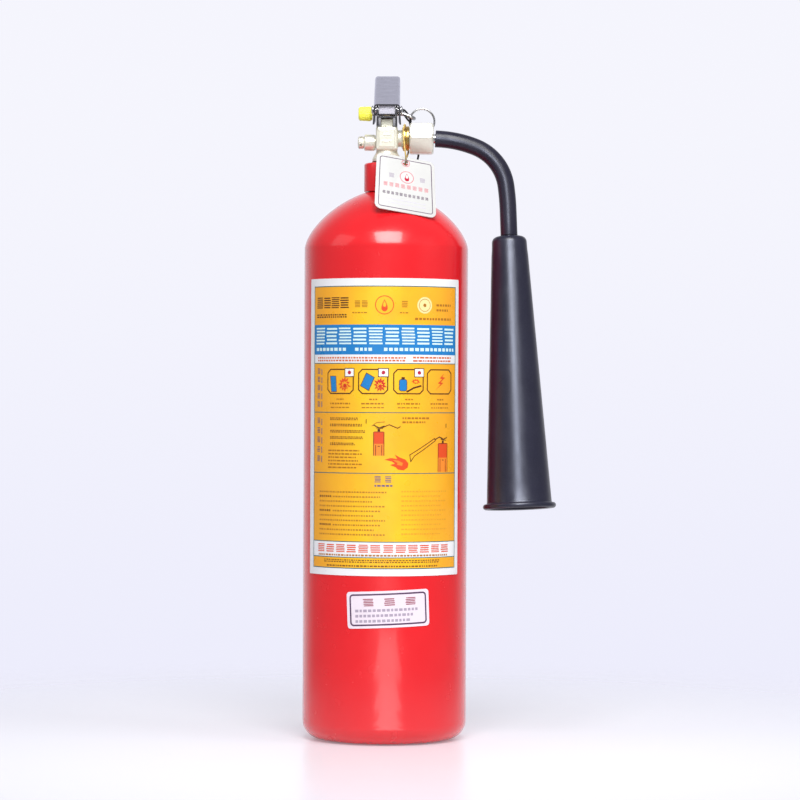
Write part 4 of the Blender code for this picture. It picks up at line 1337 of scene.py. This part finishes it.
def draw_notes(art):
    """Two columns of notes under a heading, then the strips at the foot."""
    art.tiles("3:violet", 2, 66.4, 74.4, 5.2, 5.4, 211, pitch=8.4)
    art.words("3:violet", (66.5, 81.5, 71.0, 1.4, 217, 3.2))
    for i in range(10):
        numbered, low, last = i % 3 == 1, 65.8 - 3.75 * i, 76.0 - 5.0 * (i % 3)
        if numbered:
            art.words("3:umber", (15.0, 29.0, low, 1.5, 243 + i, 1.8))
        art.words("3:faint", (30.0 if numbered else 15.0, last, low, 1.2, 223 + i, 2.2))
        art.words("3:pallid", (88.0, 130.0 - 6.0 * (i % 2), low + 0.8, 1.1, 263 + i, 2.6))
    pitch = (133.5 - 13.0) / 12
    art.tiles("3:scarlet", 12, 13.2, 18.6, pitch - 1.7, 6.8, 307, pitch)
    art.words("3:ochre", (14.0, 132.0, 15.6, 1.3, 331, 2.6))
    for low in (11.9, 10.4):
        art.words("3:umber", (21.0, 122.0, low, 0.9, int(low * 30), 2.2))
    art.words("3:umber", (24.0, 120.0, 7.2, 1.2, 359, 2.6))


def make_front_label():
    """The large label: white film, orange panels and a blue band between thin teal rules."""
    left, right, low, high = 6.7, 140.5, 5.9, 230.1
    rules = (168.8, 129.7, 81.5, 27.0, 14.5)
    art = Artwork()
    for bottom, top in ((199.6, high), (rules[1], rules[0]), (rules[2], rules[1]),
                        (rules[3], rules[2]), (low, rules[4])):
        art.bar("1:orange", left, bottom, right, top)
    art.bar("1:blue", left, 175.8, right, 199.6)
    art.stroke("2:teal", rectangle(left, low, right, high), 0.7, True)
    for level in rules:
        art.bar("2:teal", left, level - 0.32, right, level + 0.32)
    for draw in (draw_header, draw_title, draw_pictograms, draw_instructions, draw_notes):
        draw(art)

    def to_place(along, up, level):
        return on_cylinder(LABEL_LEFT + along / (LABEL_OUTER - FILM), LABEL_LOW.z + up, level)

    outline = rounded_rectangle(0, 0, *LABEL_SIZE, 1.0, 3)
    lay_film("label", art, outline, to_place, (0.0, LABEL_SIZE[0]), "front_label")


def make_inspection_label():
    """White sticker under the label, a little crooked, with a thin border."""
    wide = (STICKER_ANGLES[1] - STICKER_ANGLES[0]) * (LABEL_OUTER - FILM) / 2
    high = (STICKER_Z[1] - STICKER_Z[0]) / 2
    lean = Matrix.Rotation(STICKER_TILT, 2)

    def to_place(along, up, level):
        offset = lean @ Vector((along, up))
        angle = sum(STICKER_ANGLES) / 2 + offset.x / (LABEL_OUTER - FILM)
        return on_cylinder(angle, sum(STICKER_Z) / 2 + offset.y, level)

    art = Artwork()
    border = rounded_rectangle(3 - wide, 2.6 - high, wide - 3, high - 2.6, 2.4)
    art.stroke("1:plum", border, 1.25, True)
    art.tiles("2:claret", 3, -20.2, 3.0, 8.4, 6.4, 401, pitch=17.0)
    art.words("2:mauve", *(
        (-27.0, 25.0 - 4.0 * i, low, 2.1, 421 + i, 3.0) for i, low in enumerate((-1.7, -5.8, -10.0))
    ))
    outline = rounded_rectangle(-wide, -high, wide, high, 2.6)
    lay_film("sticker", art, outline, to_place, (-wide, wide), "inspection_label")


# ---------------------------------------------------------------- hang tag


def tag_point(across, up, out=0.0):
    """A point across, up and out of the tag's face, from the middle of its foot."""
    return TAG_FOOT + across * TAG_ACROSS + up * TAG_UP + out * TAG_FACE


def tag_outline(inset, steps):
    """The card's outline, wider at its foot, or a line that runs inside it."""
    head, foot = TAG_SIZE[0] / 2 - TAG_CORNER, TAG_SIZE[0] / 2 + TAG_FLARE - TAG_CORNER
    high = TAG_SIZE[1] - TAG_CORNER
    centres = ((head, high), (-head, high), (-foot, TAG_CORNER), (foot, TAG_CORNER))
    return quarter_arcs(centres, TAG_CORNER - inset, steps)


def make_hang_tag():
    """Laminated card with a punched hole, a thin border and greeked rows."""
    turn = Matrix((TAG_ACROSS, TAG_UP, TAG_FACE)).transposed().to_4x4()
    place = at(*TAG_FOOT) @ turn
    hole = drill(TAG_HOLE_R, -5, 5, place @ at(0, TAG_HOLE, 0), 40)
    card = combine(flat_plate(tag_outline(0, 8), TAG_THICK, place), [hole])
    card = paint(shade(settle(round_edges(card, 0.2, 50, 2)), 40), "tag_card")
    card.name = "tag_card"
    ready(card, "tag", "tag_card", "hang_tag")

    art, mark = Artwork(), (1.0, 34.6)
    art.stroke("1:plum", tag_outline(3.0, 5), 0.6, True)
    art.ring("1:rose", (0, TAG_HOLE), TAG_HOLE_R + 1.0, 0.5)
    art.flame("1:crimson", "2:white", mark, 7.6)
    art.ring("1:rose", mark, 5.6, 0.6)
    art.tiles("1:mauve", 2, -14.0, 32.4, 4.4, 4.4, 503, pitch=26.0)
    art.tiles("1:rose", 8, -18.6, 23.4, 3.4, 4.0, 517, pitch=4.9)
    art.tiles("1:plum", 11, -19.4, 15.6, 2.5, 3.0, 541, pitch=3.6)
    art.words("1:mist", (-17.0, 17.0, 10.6, 0.9, 563, 4.0), (-17.0, 17.0, 7.2, 0.9, 564, 4.0))

    def to_place(across, up, level):
        return tag_point(across, up, TAG_THICK / 2 + 0.01 + INK_LIFT * level)

    print_artwork("tag", art, (to_place, None, "tag", "tag_card"))


def string_route():
    """From the knot, up and round the lock ring, and back through the hole from behind."""
    knot = tag_point(0, TAG_HOLE, KNOT_R + TAG_THICK)
    behind = tag_point(0, TAG_HOLE, -2.2)
    points = [knot + (KNOT_R + 0.3) * Vector((-0.1, 0.35, 0.93)).normalized()]
    front_x, back_x = 13.2, 17.6
    away = degrees(atan2(behind.z - OUTLET_Z, behind.y))
    distance = hypot(behind.z - OUTLET_Z, behind.y)
    spread = degrees(acos(STRING_LOOP_R / distance))
    round_ring = arc((0, OUTLET_Z), STRING_LOOP_R, away - spread + 360, away + spread, 14)
    for i, (y, z) in enumerate(round_ring):
        points.append(Vector((front_x + (back_x - front_x) * i / 14, y, z)))
    points.append(points[-1].lerp(behind, 0.5))
    return points + [behind, tag_point(0, TAG_HOLE, TAG_THICK - 0.3)], knot


def twist(points, offset, pitch, start_angle):
    """One strand of a cord twisted about the route."""
    strand, run = [], 0.0
    side = PLUS_Y
    for i, point in enumerate(points):
        after = points[min(i + 1, len(points) - 1)]
        before = points[max(i - 1, 0)]
        along = (after - before).normalized()
        side = (side - side.dot(along) * along).normalized()
        if i:
            run += (point - points[i - 1]).length
        angle = start_angle + 2 * pi * run / pitch
        out = cos(angle) * side + sin(angle) * along.cross(side)
        strand.append(point + offset * out)
    return strand


def make_tag_string():
    """Twisted gold cord and its small tight knot, whose dark colour is painted shade."""
    points, knot = string_route()
    route = curve_through(points, 0.35)
    strands = []
    for i in range(2):
        path = twist(route, 0.36, 2.4, pi * i)
        strands.append(wire(f"strand_{i}", path, STRAND_R, None, 2))
    cord = join(strands, "tag_cord", "gold_cord")
    ready(cord, "tag", "gold_cord", "tag_string")

    turns = []
    for i in range(90):
        t = 2 * pi * i / 90
        trefoil = Vector((
            sin(t) + 2 * sin(2 * t), cos(t) - 2 * cos(2 * t), -sin(3 * t),
        ))
        turns.append(knot + trefoil * 0.36)
    tight = wire("cord_knot", turns, 0.42, "knot_cord_painted_shade", 3, cyclic=True)
    ready(tight, "tag", "gold_cord", "string_knot")


def join(objects, name, finish):
    """Several objects as one, each still a body of its own."""
    shape = bmesh.new()
    for obj in objects:
        shape.from_mesh(obj.data)
        bpy.data.objects.remove(obj)
    return from_bmesh(name, shape, finish, sharp=60)


# ---------------------------------------------------------------- studio

CAMERA_SPOT = (0.0117, -2.490, 0.2803)
CAMERA_DIP = 0.12
CAMERA_ROLL = -0.28
CAMERA_LENS = 137.52
FLOOR_RADIUS = 4.0
FLOOR_FADE = (0.16, 0.75)  # metres from the middle
# What the eye and the object see: from where to where along the axis, darker and lighter colour
BACKDROP = (-0.12, 0.10, (0.845, 0.845, 0.975), (0.915, 0.915, 0.985))
AMBIENT = (0.40, 0.98, (0.28, 0.28, 0.30), (0.86, 0.86, 0.93))
GLOW_RADIANCE = 2.3
GLOW_AZIMUTH = 5.0
# The nearest and the farthest edge of each strip of the table top, and its width
GLOW_STRIPS = ((0.10, 0.17, 0.055), (0.17, 0.32, 0.11), (0.32, 0.60, 0.22), (0.60, 1.2, 0.44))


def make_floor():
    """A plain pale disc that fades out, so that the floor runs into the backdrop's colour."""
    shape = bmesh.new()
    bmesh.ops.create_circle(shape, cap_ends=True, segments=96, radius=FLOOR_RADIUS)
    floor = from_bmesh("floor", shape)
    floor.location.z = -0.0002
    surface = Finish(
        "floor_paint", (0.70, 0.70, 0.74), 0.28, specular_ior_level=0.12,
        emission_color=(0.90, 0.91, 1.0, 1), emission_strength=0.20,
    )
    tree = surface.tree
    reach = add_node(tree, "VectorMath", {0: surface.place}, operation="LENGTH").outputs["Value"]
    clear = add_node(tree, "BsdfTransparent").outputs[0]
    shaders = {0: remap(tree, reach, *FLOOR_FADE), 1: surface.shader.outputs[0], 2: clear}
    mix = add_node(tree, "MixShader", shaders)
    tree.links.new(mix.outputs[0], tree.nodes["Material Output"].inputs["Surface"])
    floor.data.materials.append(surface.material)


def make_world():
    """Pale backdrop to the eye. What lights the object is dimmer in front than behind."""
    world = bpy.data.worlds.new("studio")
    bpy.context.scene.world = world
    world.use_nodes = True
    tree = world.node_tree
    place = add_node(tree, "TexCoord").outputs["Generated"]
    axes = add_node(tree, "SeparateXYZ", {0: place}).outputs

    def ramp(value, low, high, dark, light):
        return blend(tree, remap(tree, value, low, high), (*dark, 1), (*light, 1))

    eye = add_node(tree, "LightPath").outputs["Is Camera Ray"]
    pick = blend(tree, eye, ramp(axes["Y"], *AMBIENT), ramp(axes["Z"], *BACKDROP))
    tree.links.new(pick, tree.nodes["Background"].inputs["Color"])


def area_light(name, size, radiance, only=()):
    """A rectangle of light that the camera doesn't see, for all pieces or for some only."""
    data = bpy.data.lights.new(name, "AREA")
    configure(data, shape="RECTANGLE", size=size[0], size_y=size[1])
    data.energy = radiance * pi * size[0] * size[1]
    light = link(name, data)
    light.visible_camera = False
    if only:
        reached = bpy.data.collections.new(name + "_receivers")
        for piece in only:
            reached.objects.link(LOOKS.objects[piece])
        light.light_linking.receiver_collection = reached
    return light


def softbox(name, azimuth, elevation, distance, size, radiance, colour=(1, 1, 1), target=0.30,
            only=()):
    """An area light that faces the object. Azimuth 0 is in front, 90 on the horn's side."""
    light = area_light(name, size, radiance, only)
    light.data.color = colour
    a, e = radians(azimuth), radians(elevation)
    away = Vector((sin(a) * cos(e), -cos(a) * cos(e), sin(e)))
    light.location = Vector((0, 0, target)) + away * distance
    light.rotation_mode = "QUATERNION"
    light.rotation_quaternion = away.to_track_quat("Z", "Y")
    return light


def make_camera():
    """The photograph's view: level with the cylinder's middle, nearly without perspective."""
    data = bpy.data.cameras.new("camera")
    configure(data, lens=CAMERA_LENS, sensor_width=36.0, clip_start=0.05)
    camera = link("camera", data)
    camera.location = CAMERA_SPOT
    camera.rotation_euler = (radians(90 - CAMERA_DIP), radians(CAMERA_ROLL), 0)
    bpy.context.scene.camera = camera


def make_gloss():
    """The lights that reach some pieces only. All but the last show in their gloss alone."""
    a = radians(GLOW_AZIMUTH)
    for near, far, width in GLOW_STRIPS:  # the bright table top in front of the base
        strip = area_light("table_glow", (width, far - near), GLOW_RADIANCE, ["cylinder_shell"])
        reach = (near + far) / 2
        strip.location = (sin(a) * reach, -cos(a) * reach, 0.001)
        strip.rotation_euler = (pi, 0, a)
        strip.visible_diffuse = False
    horn, sleeve = "horn_moulding", "tube_sleeve_rubber"
    grips = ("squeeze_lever_pressing", "carry_handle_pressing")
    for row in (
        ("strip", 0, 15, 1.9, (0.56, 0.8), 14.0, (0.76, 0.82, 1.0), 0.3, (horn, sleeve)),
        ("wash", 8, 29, 1.9, (1.3, 0.30), 24.0, (0.80, 0.85, 1.0), 0.3, (horn,)),
        ("rear", 180, 28, 2.0, (3.0, 2.0), 0.42, (0.6, 0.6, 1.0), 0.5, grips),
    ):
        softbox(*row).visible_diffuse = False
    softbox(
        "lift", 4, -8, 1.4, (0.7, 0.5), 4.6, (1.0, 1.0, 0.93), 0.49,
        ("valve_forging", "union_nut_forged", "burst_plug_body", "seal_cap_moulding"),
    ).visible_glossy = False


def make_studio():
    make_floor()
    make_world()
    softbox("key", 4, 44, 1.6, (0.9, 1.0), 9.6, target=0.40)
    softbox("side", 62, 24, 1.7, (0.9, 1.2), 2.9).visible_glossy = False
    softbox("front", -5, 3, 1.2, (0.8, 0.5), 2.2, target=0.10).visible_glossy = False
    softbox("fill", -70, 30, 1.7, (0.8, 1.0), 0.8)
    make_camera()
    bpy.context.scene.view_settings.view_transform = "Standard"


# ---------------------------------------------------------------- everything

FINISHES = make_materials()
make_studio()
for finish, nodes in {
    "fibre_washer": ["neck_gasket"],
    "dip_plastic": ["dip_tube"],
    "steel": ["stem", "stem_spring"],
    "seal_rubber": ["poppet_washer", "stem_seal", "outlet_gasket"],
    "brass": ["gland_nut", "burst_disc", "tube_ferrule"],
}.items():
    for node in nodes:
        dress(node, finish)
make_cylinder()
make_neck_ring()
make_valve_body()
make_burst_plug()
make_outlet()
make_discharge()
make_carry_handle()
make_squeeze_lever()
make_pivot()
make_safety_pin()
make_pull_ring()
make_seal_tie()
make_tie_loop()
make_seal_cap()
make_front_label()
make_inspection_label()
make_hang_tag()
make_tag_string()
make_gloss()
